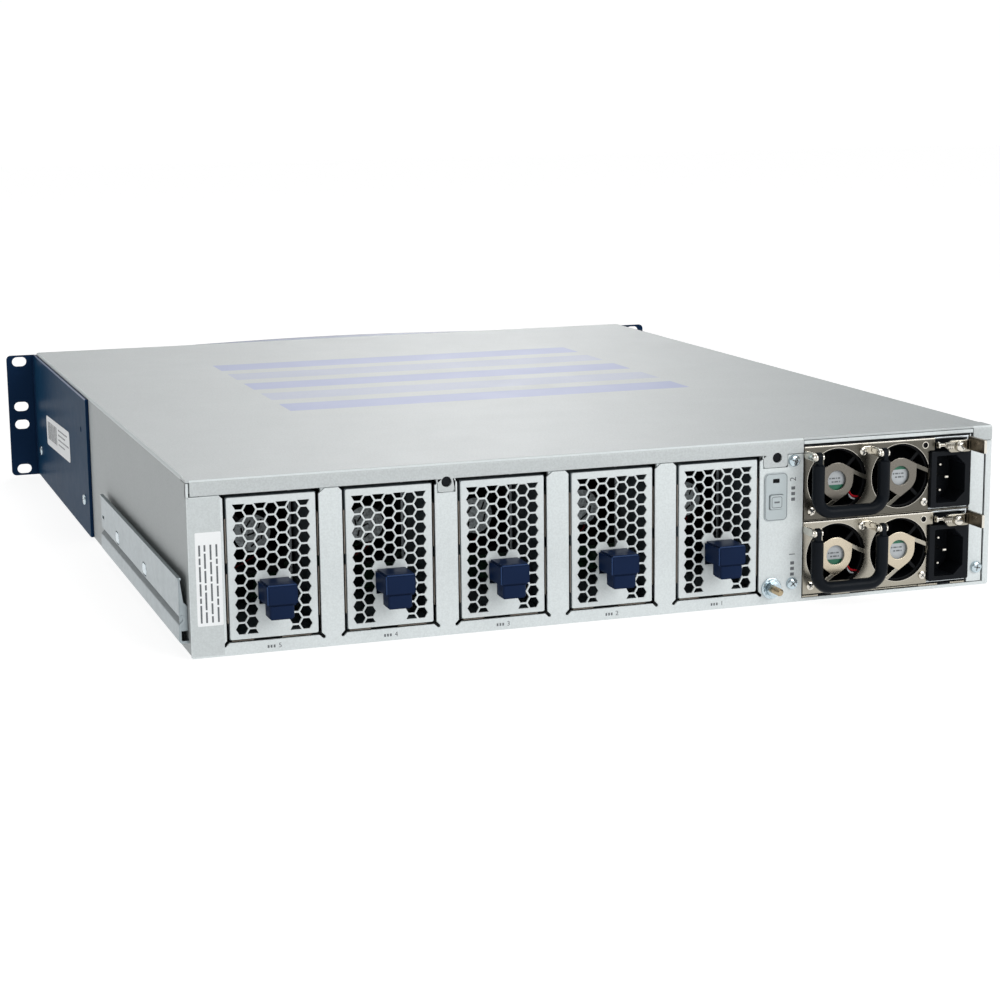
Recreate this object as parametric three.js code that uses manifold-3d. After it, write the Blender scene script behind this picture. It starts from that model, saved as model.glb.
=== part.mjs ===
// Rack-mount firewall appliance, two rack units high, with five hot-swap fan modules
// and two hot-swap power supplies in its rear face. Millimetres, +Z up.
// The origin is the centre of the underside. The front, with its bezel and rack ears,
// faces -Y, and the rear, with the fans and the power supplies, faces +Y.

import * as THREE from 'three';
import { mergeVertices } from 'three/addons/utils/BufferGeometryUtils.js';
import Module from 'manifold-3d';

const wasm = await Module();
wasm.setup();

// ---------------------------------------------------------------- driving dimensions

const WIDTH = 441;
const DEPTH = 538;
const HEIGHT = 88;
const SHEET = 1.2;
const GAP = 0.3;

const HALF = WIDTH / 2;
const REAR = DEPTH / 2;
const FRONT = -DEPTH / 2;
const WALL_TOP = HEIGHT - SHEET - GAP;

// Rack ears: 19-inch panel width and the hole pitch of the rack standard.
const RACK_WIDTH = 482.6;
const EAR = { height: 85.2, thick: 2, length: 239, slotX: 232.55, slotW: 10, slotH: 6.6 };
const EAR_LOW = (HEIGHT - EAR.height) / 2;
const EAR_CORNER = 2;
const EAR_SPARE_HOLE = { y: -54.8, z: 65.3, r: 2.2 };
const EAR_SLOT_Z = [-38.1, -6.35, 6.35, 38.1].map((offset) => HEIGHT / 2 + offset);

// Rear wall: fan openings, the folded lip of the cover, the power-supply bay.
const FAN_PITCH = 59.35;
const FAN_MIDDLE = 60.4;
const FAN_OPENING = { w: 47.6, low: 6.3, high: 80 };
const LIP_LOW = 80;
const TAB_LOW = 73.4;
const BAY = { left: -107.3, right: -217.1, low: 1.8, high: 84.6 };
const END_LIP = BAY.right + 8;
const PILLAR_DOUBLER = { half: 4.6, low: 66 };
const HEADER = { front: REAR - 3.6, rear: REAR - 2.4, low: LIP_LOW + 1.2 };
const FRONT_LIP_HIGH = 5;
const COVER_FLANGE = { low: 77, front: FRONT + 6, rear: REAR - 8 };
const COVER_NOTCH = { y0: -44, y1: -36, wide: 1.1 };
const LIP_INSET = 1.9;

// Inner rails on the side walls.
const RAIL = { front: 28, rear: 264, keyholes: [80, 165], keyholeZ: 28 };

// Fan module.
const TRAY = { w: 44.8, low: 7.6, high: 78.3, deep: 80, wall: 50, sheet: 1 };
const FAN = { w: 42, z: 51, rear: 225, deep: 36, bore: 19.6, hub: 9.5, blade: 16.6 };
const GRILLE = { pitch: 6.2, top: 74.8, half: 1.9, columns: 7, longLow: 10.2, shortLow: 41.2 };
const LATCH = { top: 37.4, split: 26.6, bottom: 19.6, tongueLow: 10.4, out: 16, footIn: 6.5 };
const LATCH_HOLE = { half: 7.2, low: 24.6, high: 35.2 };

// Power supply.
const PSU = { left: -107.7, w: 99, h: 39.2, deep: 208, low: 3.6, pitch: 40.4, sheet: 1 };
const PSU_RIGHT = PSU.left - PSU.w;
const PSU_FACE = { rear: REAR + 0.4, thick: 1.4 };
const PSU_VENT = { first: -112, pitch: 16, wide: 10, low: 24, high: 33, count: 5 };
const PSU_INSIDE = { front: REAR - PSU.deep + 6, rear: REAR - 36, base: 5.5, tall: 34 };
const PSU_FAN = { x: [-126.9, -164.8], z: 20, ring: 17.4, disc: 10.6, eye: 5.2, blade: 13.8 };
const INLET = { left: -182.4, low: 1.2, high: 32, out: 2, recess: 17 };
const BAIL = { x: [-110.3, -148.6], y: REAR + 11.5, z: 35.3, bar: 5.6, r: 3.3, bend: 8, pin: 1 };
const LEVER = { x: -197.8, z: 34.6, y: REAR + 3.2, thick: 1.8, headOut: 4.4 };
const LEVER_TAB = { x: -204.8, out: 20, low: 32.2, high: 39.6 };

// Screws of the cover, the lamp panel beside them, the earth stud and the bay's lining.
const COVER_HOLE = 2.65;
const COVER_SCREWS = [
  { x: 89.8, z: 78.4, x0: 85.6, x1: 94.4 },
  { x: -92.1, z: 78.5, x0: -98, x1: -84.2 },
];
const UID = { x: -91.3, low: 45, high: 70.5, w: 13.2, thick: 0.8 };
const UID_BUTTON = { z: 55.1, size: 7.6, hole: 8.4 };
const UID_LAMP = { z: 66.3, half: 1.9, halfHigh: 1.1 };
const STUD = { x: -89.3, z: 8.7 };
const CAGE = { left: -107, right: -207.2, sheet: 0.8, front: 56, low: 2.2, high: 83.9, shelf: 0.6 };

// Front bezel: a fascia that bulges in the middle.
const BEZEL = { base: 1.5, bulge: 20, reach: 174, wall: 3, low: 1, high: 87, behind: 2 };
const WINDOW = { x: 152, low: 14, high: 44 };
const VENT = { pitch: 102, half: 47, low: 52, high: 80, rows: 4, rowPitch: 8, gap: 4 };
const POWER = { x: 192, z: 44, cap: 6, stem: 2 };
const COPPER = { x: -96, z: 29, half: 17, low: 15, high: 43, pitchX: 17, pitchZ: 14 };
const FIBRE = { x: 60, half: 34.2, low: 21, high: 33, pitchX: 17, deep: 44 };
const PORT_PROUD = 4;

// Inside: the main board on its posts, and what stands on it.
const BOARD_PLATE = { x0: -98, x1: 208, y0: -248, y1: 160, low: 9, high: 10.6 };
const HEATSINK = { x: 10, y: -20, size: 90, base: 17, top: 68, fins: 12, pitch: 8, fin: 1.2 };
const MEMORY = { x: 120, y: -30, wide: 66, long: 140, base: 14, top: 44, sticks: 4, pitch: 16 };
const FAN_BOARD = { x0: -84, x1: 208, y0: 172, y1: 173.8, low: 4, high: 72, socketRear: 182 };

// ---------------------------------------------------------------- materials

const finish = (color, roughness, metalness) =>
  new THREE.MeshStandardMaterial({ color, roughness, metalness });

const STEEL = finish(0xc9cfd0, 0.55, 0.3);
const NAVY = finish(0x14223f, 0.45, 0.1);
const ZINC = finish(0xaebbc2, 0.3, 0.9);
const NICKEL = finish(0xb3a68e, 0.35, 0.85);
const BLUE = finish(0x1a2859, 0.4, 0.0);
const BLACK = finish(0x181b1e, 0.5, 0.0);
const RUBBER = finish(0x14171a, 0.65, 0.0);
const BOARD = finish(0x1d4a33, 0.55, 0.0);
const OVERLAY = finish(0xaeb9bc, 0.6, 0.0);
const FIN = finish(0xc4c8ca, 0.35, 0.9);

// ---------------------------------------------------------------- solid helpers

// Vertices are rounded to this grid, so that faces that should meet do meet.
const GRID = 0.001;

function solid(geometry) {
  geometry.deleteAttribute('normal');
  geometry.deleteAttribute('uv');
  const places = geometry.attributes.position.array;
  const snapped = places.map((value) => Math.round(value / GRID) * GRID);
  geometry.setAttribute('position', new THREE.BufferAttribute(snapped, 3));
  const merged = mergeVertices(geometry, 1e-4);
  const vertProperties = new Float32Array(merged.attributes.position.array);
  const triVerts = new Uint32Array(merged.index.array);
  return new wasm.Manifold(new wasm.Mesh({ numProp: 3, vertProperties, triVerts }));
}

const join = (...solids) => solids.reduce((sum, next) => sum.add(next));
const cut = (from, ...tools) => tools.reduce((rest, tool) => rest.subtract(tool), from);

// A box between two corners.
function box(x0, x1, y0, y1, z0, z1) {
  const geometry = new THREE.BoxGeometry(Math.abs(x1 - x0), Math.abs(y1 - y0), Math.abs(z1 - z0));
  geometry.translate((x0 + x1) / 2, (y0 + y1) / 2, (z0 + z1) / 2);
  return solid(geometry);
}

const extrude = (shape, depth, curveSegments) =>
  new THREE.ExtrudeGeometry(shape, { depth, bevelEnabled: false, curveSegments, steps: 1 });

// A shape drawn in X and Z, extruded from y0 to y1.
function alongY(shape, y0, y1, curveSegments = 6) {
  const geometry = extrude(shape, y1 - y0, curveSegments);
  geometry.rotateX(Math.PI / 2);
  geometry.translate(0, y1, 0);
  return solid(geometry);
}

// A shape drawn in Y and Z, extruded from x0 to x1.
function alongX(shape, x0, x1, curveSegments = 6) {
  const geometry = extrude(shape, x1 - x0, curveSegments);
  const turn = new THREE.Matrix4().set(0, 0, 1, 0, 1, 0, 0, 0, 0, 1, 0, 0, 0, 0, 0, 1);
  geometry.applyMatrix4(turn);
  geometry.translate(x0, 0, 0);
  return solid(geometry);
}

// The same between two places in either order.
const acrossX = (shape, a, b, curveSegments) =>
  alongX(shape, Math.min(a, b), Math.max(a, b), curveSegments);

// A shape drawn in X and Y, extruded from z0 to z1.
function alongZ(shape, z0, z1, curveSegments = 6) {
  const geometry = extrude(shape, z1 - z0, curveSegments);
  geometry.translate(0, 0, z0);
  return solid(geometry);
}

const outline = (...points) => new THREE.Shape(points.map(([a, b]) => new THREE.Vector2(a, b)));

// A rectangle with round corners, centred on (a, b).
function rounded(a, b, w, h, r) {
  const shape = new THREE.Shape();
  const [x0, x1, y0, y1] = [a - w / 2, a + w / 2, b - h / 2, b + h / 2];
  shape.moveTo(x0 + r, y0);
  shape.lineTo(x1 - r, y0);
  shape.absarc(x1 - r, y0 + r, r, -Math.PI / 2, 0, false);
  shape.lineTo(x1, y1 - r);
  shape.absarc(x1 - r, y1 - r, r, 0, Math.PI / 2, false);
  shape.lineTo(x0 + r, y1);
  shape.absarc(x0 + r, y1 - r, r, Math.PI / 2, Math.PI, false);
  shape.lineTo(x0, y0 + r);
  shape.absarc(x0 + r, y0 + r, r, Math.PI, Math.PI * 1.5, false);
  return shape;
}

// A round bar along Y or X.
function rodY(x, z, r, y0, y1, sides = 24) {
  const geometry = new THREE.CylinderGeometry(r, r, y1 - y0, sides);
  geometry.translate(x, (y0 + y1) / 2, z);
  return solid(geometry);
}

function rodX(y, z, r, x0, x1, sides = 16) {
  const geometry = new THREE.CylinderGeometry(r, r, x1 - x0, sides);
  geometry.rotateZ(Math.PI / 2);
  geometry.translate((x0 + x1) / 2, y, z);
  return solid(geometry);
}

function rodZ(x, y, r, z0, z1, sides = 12) {
  const geometry = new THREE.CylinderGeometry(r, r, z1 - z0, sides);
  geometry.rotateX(Math.PI / 2);
  geometry.translate(x, y, (z0 + z1) / 2);
  return solid(geometry);
}

const appliance = new THREE.Group();

// Turns a solid into a named mesh and adds it to the appliance.
function piece(name, shape, material) {
  const { vertProperties, triVerts } = shape.getMesh();
  const geometry = new THREE.BufferGeometry();
  geometry.setAttribute('position', new THREE.BufferAttribute(vertProperties, 3));
  geometry.setIndex(new THREE.BufferAttribute(triVerts, 1));
  geometry.computeVertexNormals();
  const mesh = new THREE.Mesh(geometry, material);
  mesh.name = name;
  appliance.add(mesh);
}

// ---------------------------------------------------------------- places

// Fan modules are numbered from the power supplies outwards.
const FANS = [1, 2, 3, 4, 5].map((number) => ({
  number,
  x: FAN_MIDDLE + (number - 3) * FAN_PITCH,
}));
const PSUS = [1, 2].map((number) => ({ number, z: PSU.low + (number - 1) * PSU.pitch }));

// ---------------------------------------------------------------- chassis

function chassisBase() {
  const floor = box(-HALF, HALF, FRONT, REAR, 0, SHEET);
  const walls = [-1, 1].map((side) =>
    box(side * (HALF - SHEET), side * HALF, FRONT, REAR, 0, WALL_TOP));
  const frontLip = box(-HALF, HALF, FRONT, FRONT + SHEET, 0, FRONT_LIP_HIGH);
  return cut(join(floor, ...walls, frontLip, rearWall(), ...header()), ...coverSeats());
}

// The rear wall, open at each fan module and at the power-supply bay.
function rearWall() {
  const wall = box(-HALF, HALF, REAR - SHEET, REAR, 0, LIP_LOW - GAP);
  const top = WALL_TOP - GAP;
  const bayBar = box(-HALF, BAY.left + 4, HEADER.front, REAR - 2, BAY.high, top);
  const bayStrip = box(END_LIP + GAP, BAY.left - GAP, REAR - 3, REAR, BAY.high, WALL_TOP);
  const bay = box(BAY.right, BAY.left, REAR - 2, REAR + 1, BAY.low, BAY.high);
  const { w, low } = FAN_OPENING;
  const openings = FANS.map(({ x }) => box(x - w / 2, x + w / 2, REAR - 2, REAR + 1, low, HEIGHT));
  return cut(join(wall, bayBar, bayStrip), bay, buttonHole(REAR - 2, REAR + 1), ...openings);
}

// The bar behind the cover's lip, with a doubler down each pillar between two openings.
function header() {
  const top = WALL_TOP - GAP;
  const bar = box(BAY.left + 1.6, HALF, HEADER.front, HEADER.rear, HEADER.low, top);
  const pillars = FANS.map(({ x }) => x + FAN_PITCH / 2).concat(FANS[0].x - FAN_PITCH / 2);
  const { half, low } = PILLAR_DOUBLER;
  const doublers = pillars.map((x) =>
    box(x - half, x + half, HEADER.front, REAR - SHEET, low, top));
  return [bar, ...doublers];
}

// Room in the rear wall for the cover's end lip and its two screw tabs.
function coverSeats() {
  const depth = REAR - SHEET - 0.01;
  const lip = box(-HALF - 1, END_LIP + GAP, depth - GAP, REAR + 1, LIP_LOW - GAP, HEIGHT);
  const tabs = COVER_SCREWS.map(({ x0, x1 }) =>
    box(x0 - GAP, x1 + GAP, depth, REAR + 1, TAB_LOW - GAP, HEIGHT));
  return [lip, ...tabs];
}

function topCover() {
  const sheet = box(-HALF, HALF, FRONT, REAR, HEIGHT - SHEET, HEIGHT);
  const out = HALF - SHEET - GAP;
  const { low, front, rear } = COVER_FLANGE;
  const flanges = [-1, 1].map((side) =>
    box(side * (out - SHEET), side * out, front, rear, low, HEIGHT));
  const lip = box(BAY.left, HALF - LIP_INSET, REAR - SHEET, REAR, LIP_LOW, HEIGHT);
  const endLip = box(-HALF, END_LIP, REAR - SHEET, REAR, LIP_LOW, HEIGHT);
  const tabs = COVER_SCREWS.map(({ x0, x1 }) => box(x0, x1, REAR - SHEET, REAR, TAB_LOW, HEIGHT));
  const holes = COVER_SCREWS.map(({ x, z }) => rodY(x, z, COVER_HOLE, REAR - 3, REAR + 1, 20));
  const { y0, y1, wide } = COVER_NOTCH;
  const notch = box(-HALF - 1, -HALF + wide, y0, y1, HEIGHT - SHEET - 1, HEIGHT + 1);
  return cut(join(sheet, ...flanges, lip, endLip, ...tabs), ...holes, notch);
}

function psuCage() {
  const { left, right, sheet, front, low, high } = CAGE;
  const inner = REAR - SHEET - GAP;
  const shelfZ = PSU.low + PSU.h + GAP;
  const leftWall = box(left, left + sheet, front, inner, low, high);
  const rightWall = box(right - sheet, right, front, REAR, low, high);
  const floor = box(right - sheet, left + sheet, front, inner, low, low + sheet);
  const shelf = box(right - sheet, left + sheet, front, REAR - 2, shelfZ, shelfZ + CAGE.shelf);
  const flangeTop = LIP_LOW - GAP - 0.2;
  const flange = box(BAY.right + GAP, right, REAR - SHEET, REAR, low, flangeTop);
  return join(leftWall, rightWall, floor, shelf, flange);
}

// ---------------------------------------------------------------- front

// How far the bezel stands out at x: most in the middle, little beyond its reach.
function bulgeAt(x, inset) {
  const t = Math.min(Math.abs(x) / BEZEL.reach, 1);
  return BEZEL.base + BEZEL.bulge * Math.cos(t * Math.PI / 2) ** 2 - inset;
}

function fascia(halfWidth, inset, back, z0, z1) {
  const steps = 12;
  const points = [[-halfWidth, back]];
  for (let i = 0; i <= steps; i += 1) {
    const x = -halfWidth + (2 * halfWidth * i) / steps;
    points.push([x, FRONT - Math.max(bulgeAt(x, inset), 0.2) - BEZEL.behind]);
  }
  points.push([halfWidth, back]);
  return alongZ(outline(...points.reverse()), z0, z1);
}

function frontBezel() {
  const { reach, wall, low, high } = BEZEL;
  const shell = fascia(HALF - 1.4, 0, FRONT - BEZEL.behind, low, high);
  const hollow = fascia(reach - 14, wall, FRONT, low + wall, high - wall);
  const opening = box(-WINDOW.x, WINDOW.x, FRONT - 40, FRONT + 1, WINDOW.low, WINDOW.high);
  const button = rodY(POWER.x, POWER.z, POWER.cap + 0.4, FRONT - 20, FRONT + 1, 16);
  return cut(shell, hollow, opening, button, ...bezelVents());
}

function bezelVents() {
  const vents = [];
  for (let row = 0; row < VENT.rows; row += 1) {
    for (let column = -1; column <= 1; column += 1) {
      const [x, z] = [column * VENT.pitch, VENT.low + row * VENT.rowPitch];
      vents.push(box(x - VENT.half, x + VENT.half, FRONT - 40, FRONT + 1, z, z + VENT.gap));
    }
  }
  return vents;
}

function powerButton() {
  const { x, z, cap, stem } = POWER;
  const head = rodY(x, z, cap, FRONT - 6, FRONT - 2.6, 16);
  return join(head, rodY(x, z, stem, FRONT - 3, FRONT + 8, 8));
}

function frontPanel() {
  const [y0, y1] = [FRONT + SHEET, FRONT + 2 * SHEET];
  const through = (x0, x1, z0, z1) => box(x0, x1, FRONT, FRONT + 4, z0, z1);
  const plate = box(-HALF + 1.6, HALF - 1.6, y0, y1, 2, WALL_TOP - GAP);
  const [copper, fibre] = [COPPER, FIBRE].map(({ x, half, low, high }) =>
    through(x - half - 0.4, x + half + 0.4, low - 0.4, high + 0.4));
  const vents = [-1, 0, 1].map((column) => column * VENT.pitch).map((x) =>
    through(x - VENT.half, x + VENT.half, VENT.low, VENT.high));
  const stem = rodY(POWER.x, POWER.z, POWER.stem + 0.6, FRONT, FRONT + 4, 12);
  return cut(plate, copper, fibre, stem, ...vents);
}

// Network sockets for copper plugs, two rows of two.
function copperPorts() {
  const { x: cx, z: cz, half, low, high, pitchX, pitchZ } = COPPER;
  const block = box(cx - half, cx + half, FRONT - PORT_PROUD, FRONT + 18, low, high);
  const sockets = [-0.5, 0.5].flatMap((column) => [-0.5, 0.5].map((row) => {
    const [x, z] = [cx + column * pitchX, cz + row * pitchZ];
    return box(x - 6, x + 6, FRONT - PORT_PROUD - 1, FRONT + 12, z - 5, z + 4);
  }));
  return cut(block, ...sockets);
}

// Cages for fibre transceivers, one row of four.
function fibrePorts() {
  const { x: cx, half, low, high, pitchX, deep } = FIBRE;
  const block = box(cx - half, cx + half, FRONT - PORT_PROUD, FRONT + deep, low, high);
  const cages = [-1.5, -0.5, 0.5, 1.5].map((column) => {
    const x = cx + column * pitchX;
    return box(x - 7, x + 7, FRONT - PORT_PROUD - 1, FRONT + deep - 2, low + 1.4, high - 1.6);
  });
  return cut(block, ...cages);
}

// A bracket: a web on the side wall and a flange with four slots.
function rackEar(side) {
  const wall = side * HALF;
  const edge = side * RACK_WIDTH / 2;
  const back = FRONT - EAR.thick;
  const middleZ = HEIGHT / 2;
  const web = acrossX(rounded(back + EAR.length / 2, middleZ, EAR.length, EAR.height, EAR_CORNER),
    wall, wall + side * EAR.thick, 2);
  const tab = rounded((wall + edge) / 2, middleZ, Math.abs(edge - wall), EAR.height, EAR_CORNER);
  const flange = alongY(tab, back, FRONT, 2);
  const corner = box(wall, wall + side * 4, back, FRONT, EAR_LOW + 1, HEIGHT - EAR_LOW - 1);
  const { slotX, slotW, slotH } = EAR;
  const slots = EAR_SLOT_Z.map((z) =>
    alongY(rounded(side * slotX, z, slotW, slotH, slotH / 2 - 0.01), FRONT - 4, FRONT + 2, 2));
  const { y, z, r } = EAR_SPARE_HOLE;
  const spareHole = rodX(y, z, r, -HALF - 4, HALF + 4, 8);
  return cut(join(web, flange, corner), ...slots, spareHole);
}

// The rolled rail on each side, with a bead along it and two keyholes.
function innerRail(side) {
  const wall = side * HALF;
  const profile = [
    [0, 7], [3.9, 7], [4.8, 8], [4.8, 16.2], [2.6, 18.4], [2.6, 19.6], [4.2, 21.2], [4.2, 39.5],
    [2.7, 39.5], [2.7, 21.8], [1.1, 20.2], [1.1, 17.8], [3.3, 15.6], [3.3, 8.7], [3.1, 8.5], [0, 8.5],
  ];
  const points = profile.map(([out, z]) => [wall + side * out, z]);
  const section = outline(...(side > 0 ? points : points.reverse()));
  const bar = alongY(section, RAIL.front, RAIL.rear);
  const keyholes = RAIL.keyholes.map((y) =>
    acrossX(rounded(y, RAIL.keyholeZ, 4, 9.4, 1.9), wall - side, wall + side * 7, 1));
  return cut(bar, ...keyholes);
}

// ---------------------------------------------------------------- inside

function mainboard() {
  const { x0, x1, y0, y1, low, high } = BOARD_PLATE;
  const board = box(x0, x1, y0, y1, low, high);
  const inset = 8;
  const columns = [x0 + inset, (x0 + x1) / 2, x1 - inset];
  const rows = [y0 + inset, (y0 + y1) / 2, y1 - inset];
  const posts = columns.flatMap((x) => rows.map((y) => rodZ(x, y, 3, SHEET, low + 0.5, 6)));
  return join(board, ...posts);
}

function processorHeatsink() {
  const { x: x0, y: y0, size, base, top, fins, pitch, fin } = HEATSINK;
  const foot = box(x0, x0 + size, y0, y0 + size, BOARD_PLATE.high, base);
  const blades = [];
  for (let i = 0; i < fins; i += 1) {
    const x = x0 + 0.6 + i * pitch;
    blades.push(box(x, x + fin, y0, y0 + size, base - 1, top));
  }
  return join(foot, ...blades);
}

function memoryModules() {
  const { x: x0, y: y0, wide, long, base, top, sticks, pitch } = MEMORY;
  const sockets = box(x0, x0 + wide, y0, y0 + long, BOARD_PLATE.high, base);
  const boards = [];
  for (let i = 0; i < sticks; i += 1) {
    const x = x0 + 8 + i * pitch;
    boards.push(box(x, x + 2.4, y0 + 4, y0 + long - 4, base - 1, top));
  }
  return join(sockets, ...boards);
}

// The board that the fan modules plug into.
function fanBackplane() {
  const { x0, x1, y0, y1, low, high, socketRear } = FAN_BOARD;
  const board = box(x0, x1, y0, y1, low, high);
  const foot = box(x0, x1, y0 - 6, y1, SHEET, low + 0.5);
  const sockets = FANS.map(({ x }) => box(x - 8, x + 8, y1 - 0.8, socketRear, 11, 21));
  return join(board, foot, ...sockets);
}

// ---------------------------------------------------------------- rear fittings

function groundStud() {
  const washer = rodY(STUD.x, STUD.z, 5.7, REAR, REAR + 1.1, 16);
  const nut = rodY(STUD.x, STUD.z, 4.1, REAR + 1, REAR + 4.4, 6);
  const thread = rodY(STUD.x, STUD.z, 2, REAR + 1, REAR + 12, 8);
  return join(washer, nut, thread);
}

// The square hole that the lamp panel's button moves in.
function buttonHole(y0, y1, size = UID_BUTTON.hole) {
  const [r, z] = [size / 2, UID_BUTTON.z];
  return box(UID.x - r, UID.x + r, y0, y1, z - r, z + r);
}

function uidPanel() {
  const shape = rounded(UID.x, (UID.low + UID.high) / 2, UID.w, UID.high - UID.low, 2.6);
  const plate = alongY(shape, REAR, REAR + UID.thick, 3);
  const { z, half, halfHigh } = UID_LAMP;
  const lamp = box(UID.x - half, UID.x + half, REAR - 1, REAR + 2, z - halfHigh, z + halfHigh);
  return cut(plate, buttonHole(REAR - 1, REAR + 2, UID_BUTTON.hole - 0.4), lamp);
}

function uidButton() {
  const { z, size } = UID_BUTTON;
  const cap = alongY(rounded(UID.x, z, size, size, 1), REAR - 3, REAR + 1.8, 2);
  return join(cap, buttonHole(REAR - 6, REAR - 3, size + 2.4));
}

// ---------------------------------------------------------------- fan module

// The module's tray: grille, sides, floor, roof, and the plug at its front end.
function fanTray({ x }) {
  const { w, low, high, deep, wall, sheet } = TRAY;
  const half = w / 2;
  const face = box(x - half, x + half, REAR - sheet, REAR, low, high);
  const sides = [-1, 1].map((side) =>
    box(x + side * (half - sheet), x + side * half, REAR - wall, REAR - 0.5, low, high));
  const floor = box(x - half, x + half, REAR - deep, REAR - 0.5, low, low + sheet);
  const roof = box(x - half, x + half, REAR - 8, REAR - 0.5, high - sheet, high);
  const plug = box(x - 6.5, x + 6.5, REAR - deep - 6, REAR - deep + 6, 12.5, 19.5);
  const plugFoot = box(x - 4, x + 4, REAR - deep, REAR - deep + 6, low, 13);
  const columnStep = GRILLE.pitch * Math.cos(Math.PI / 6);
  const slots = [];
  for (let column = 0; column < GRILLE.columns; column += 1) {
    const cx = x + (column - 3) * columnStep;
    const bottom = column < 2 || column > 4 ? GRILLE.longLow : GRILLE.shortLow;
    slots.push(box(cx - GRILLE.half, cx + GRILLE.half, REAR - 2, REAR + 1, bottom, GRILLE.top));
  }
  const hole = LATCH_HOLE;
  const latchHole = box(x - hole.half, x + hole.half, REAR - 2, REAR + 1, hole.low, hole.high);
  return cut(join(face, ...sides, floor, roof, plug, plugFoot), ...slots, latchHole);
}

// A square fan housing with a round duct, its motor carried by four struts at the rear.
function fanHousing(x, z, w, bore, hub, y0, y1, plate) {
  const frame = box(x - w / 2, x + w / 2, y0, y1, z - w / 2, z + w / 2);
  const duct = rodY(x, z, bore, y0 - 1, y1 + 1, 14);
  const motor = rodY(x, z, hub, y1 - plate, y1, 10);
  const struts = [0, 1, 2, 3].map((i) => {
    const geometry = new THREE.BoxGeometry(bore - hub + 2, plate, 2);
    geometry.translate((bore + hub) / 2, y1 - plate / 2, 0);
    geometry.rotateY(Math.PI / 4 + i * Math.PI / 2);
    geometry.translate(x, 0, z);
    return solid(geometry);
  });
  return join(cut(frame, duct), motor, ...struts);
}

// A hub with pitched blades on an axis along Y.
function rotor(x, z, hub, tip, y0, y1, blades) {
  const core = rodY(x, z, hub, y0, y1, 10);
  const span = tip - hub + 1.5;
  const vanes = [];
  for (let i = 0; i < blades; i += 1) {
    const geometry = new THREE.BoxGeometry(span, (y1 - y0) * 0.8, 1.2);
    geometry.rotateX(-0.75);
    geometry.translate(hub - 1.5 + span / 2, 0, 0);
    geometry.rotateY((i * 2 * Math.PI) / blades);
    geometry.translate(x, (y0 + y1) / 2, z);
    vanes.push(solid(geometry));
  }
  return join(core, ...vanes);
}

// The thumb block in two steps, its neck through the plate, and the spring tongue inside.
function fanLatch({ x }) {
  const out = REAR + LATCH.out;
  const base = REAR + 0.4;
  const wedge = outline([x - 8, base], [x + 8, base], [x + 6.7, out], [x - 6.7, out]);
  const head = alongZ(wedge, LATCH.split, LATCH.top);
  const foot = box(x - 5.2, x + 5.2, REAR + LATCH.footIn, out - 0.3, LATCH.bottom, LATCH.split + 0.1);
  const neck = box(x - 5, x + 5, REAR - 7, base + 0.1, 27, 34);
  const tongue = box(x - 5, x + 5, REAR - 9, REAR - 6.5, LATCH.tongueLow, 34);
  return join(head, foot, neck, tongue);
}

// ---------------------------------------------------------------- power supply

// The supply's case, vented at its front end, with the edge connector that plugs in.
function psuCase({ z }) {
  const front = REAR - PSU.deep;
  const rear = PSU_FACE.rear - PSU_FACE.thick;
  const shell = box(PSU_RIGHT, PSU.left, front, rear, z, z + PSU.h);
  const hollow = box(PSU_RIGHT + PSU.sheet, PSU.left - PSU.sheet, front + PSU.sheet, rear + 1,
    z + PSU.sheet, z + PSU.h - PSU.sheet);
  const edgeConnector = box(-180, -134, front - 8, front + 2, z + 12, z + 18);
  const { first, pitch, wide, low, high, count } = PSU_VENT;
  const vents = [];
  for (let i = 0; i < count; i += 1) {
    const x = first - i * pitch;
    vents.push(box(x - wide, x, front - 1, front + 2, z + low, z + high));
  }
  return join(cut(shell, hollow, ...vents), edgeConnector);
}

// The supply's board on its foot, with a choke, a heat sink and a capacitor.
function psuBoard({ z }) {
  const { front, rear, base, tall } = PSU_INSIDE;
  const board = box(-203, -112, front, rear, z + 4.2, z + 5.8);
  const foot = box(-160, -150, front, rear, z + PSU.sheet, z + 4.3);
  const choke = box(-150, -122, front + 24, front + 52, z + base, z + 30);
  const sink = box(-196, -190, front + 10, front + 130, z + base, z + tall);
  const capacitor = rodZ(-168, front + 96, 15, z + base, z + tall, 16);
  return join(board, foot, choke, sink, capacitor);
}

// A spoke of the fan guard, from the centre disc to the rim.
function guardSpoke(cx, cz, angle, y0, y1) {
  const length = PSU_FAN.ring + 0.4 - 6;
  const geometry = new THREE.BoxGeometry(length, y1 - y0, 2.4);
  geometry.translate(6 + length / 2, 0, 0);
  geometry.rotateY(-angle);
  geometry.translate(cx, (y0 + y1) / 2, cz);
  return solid(geometry);
}

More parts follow.
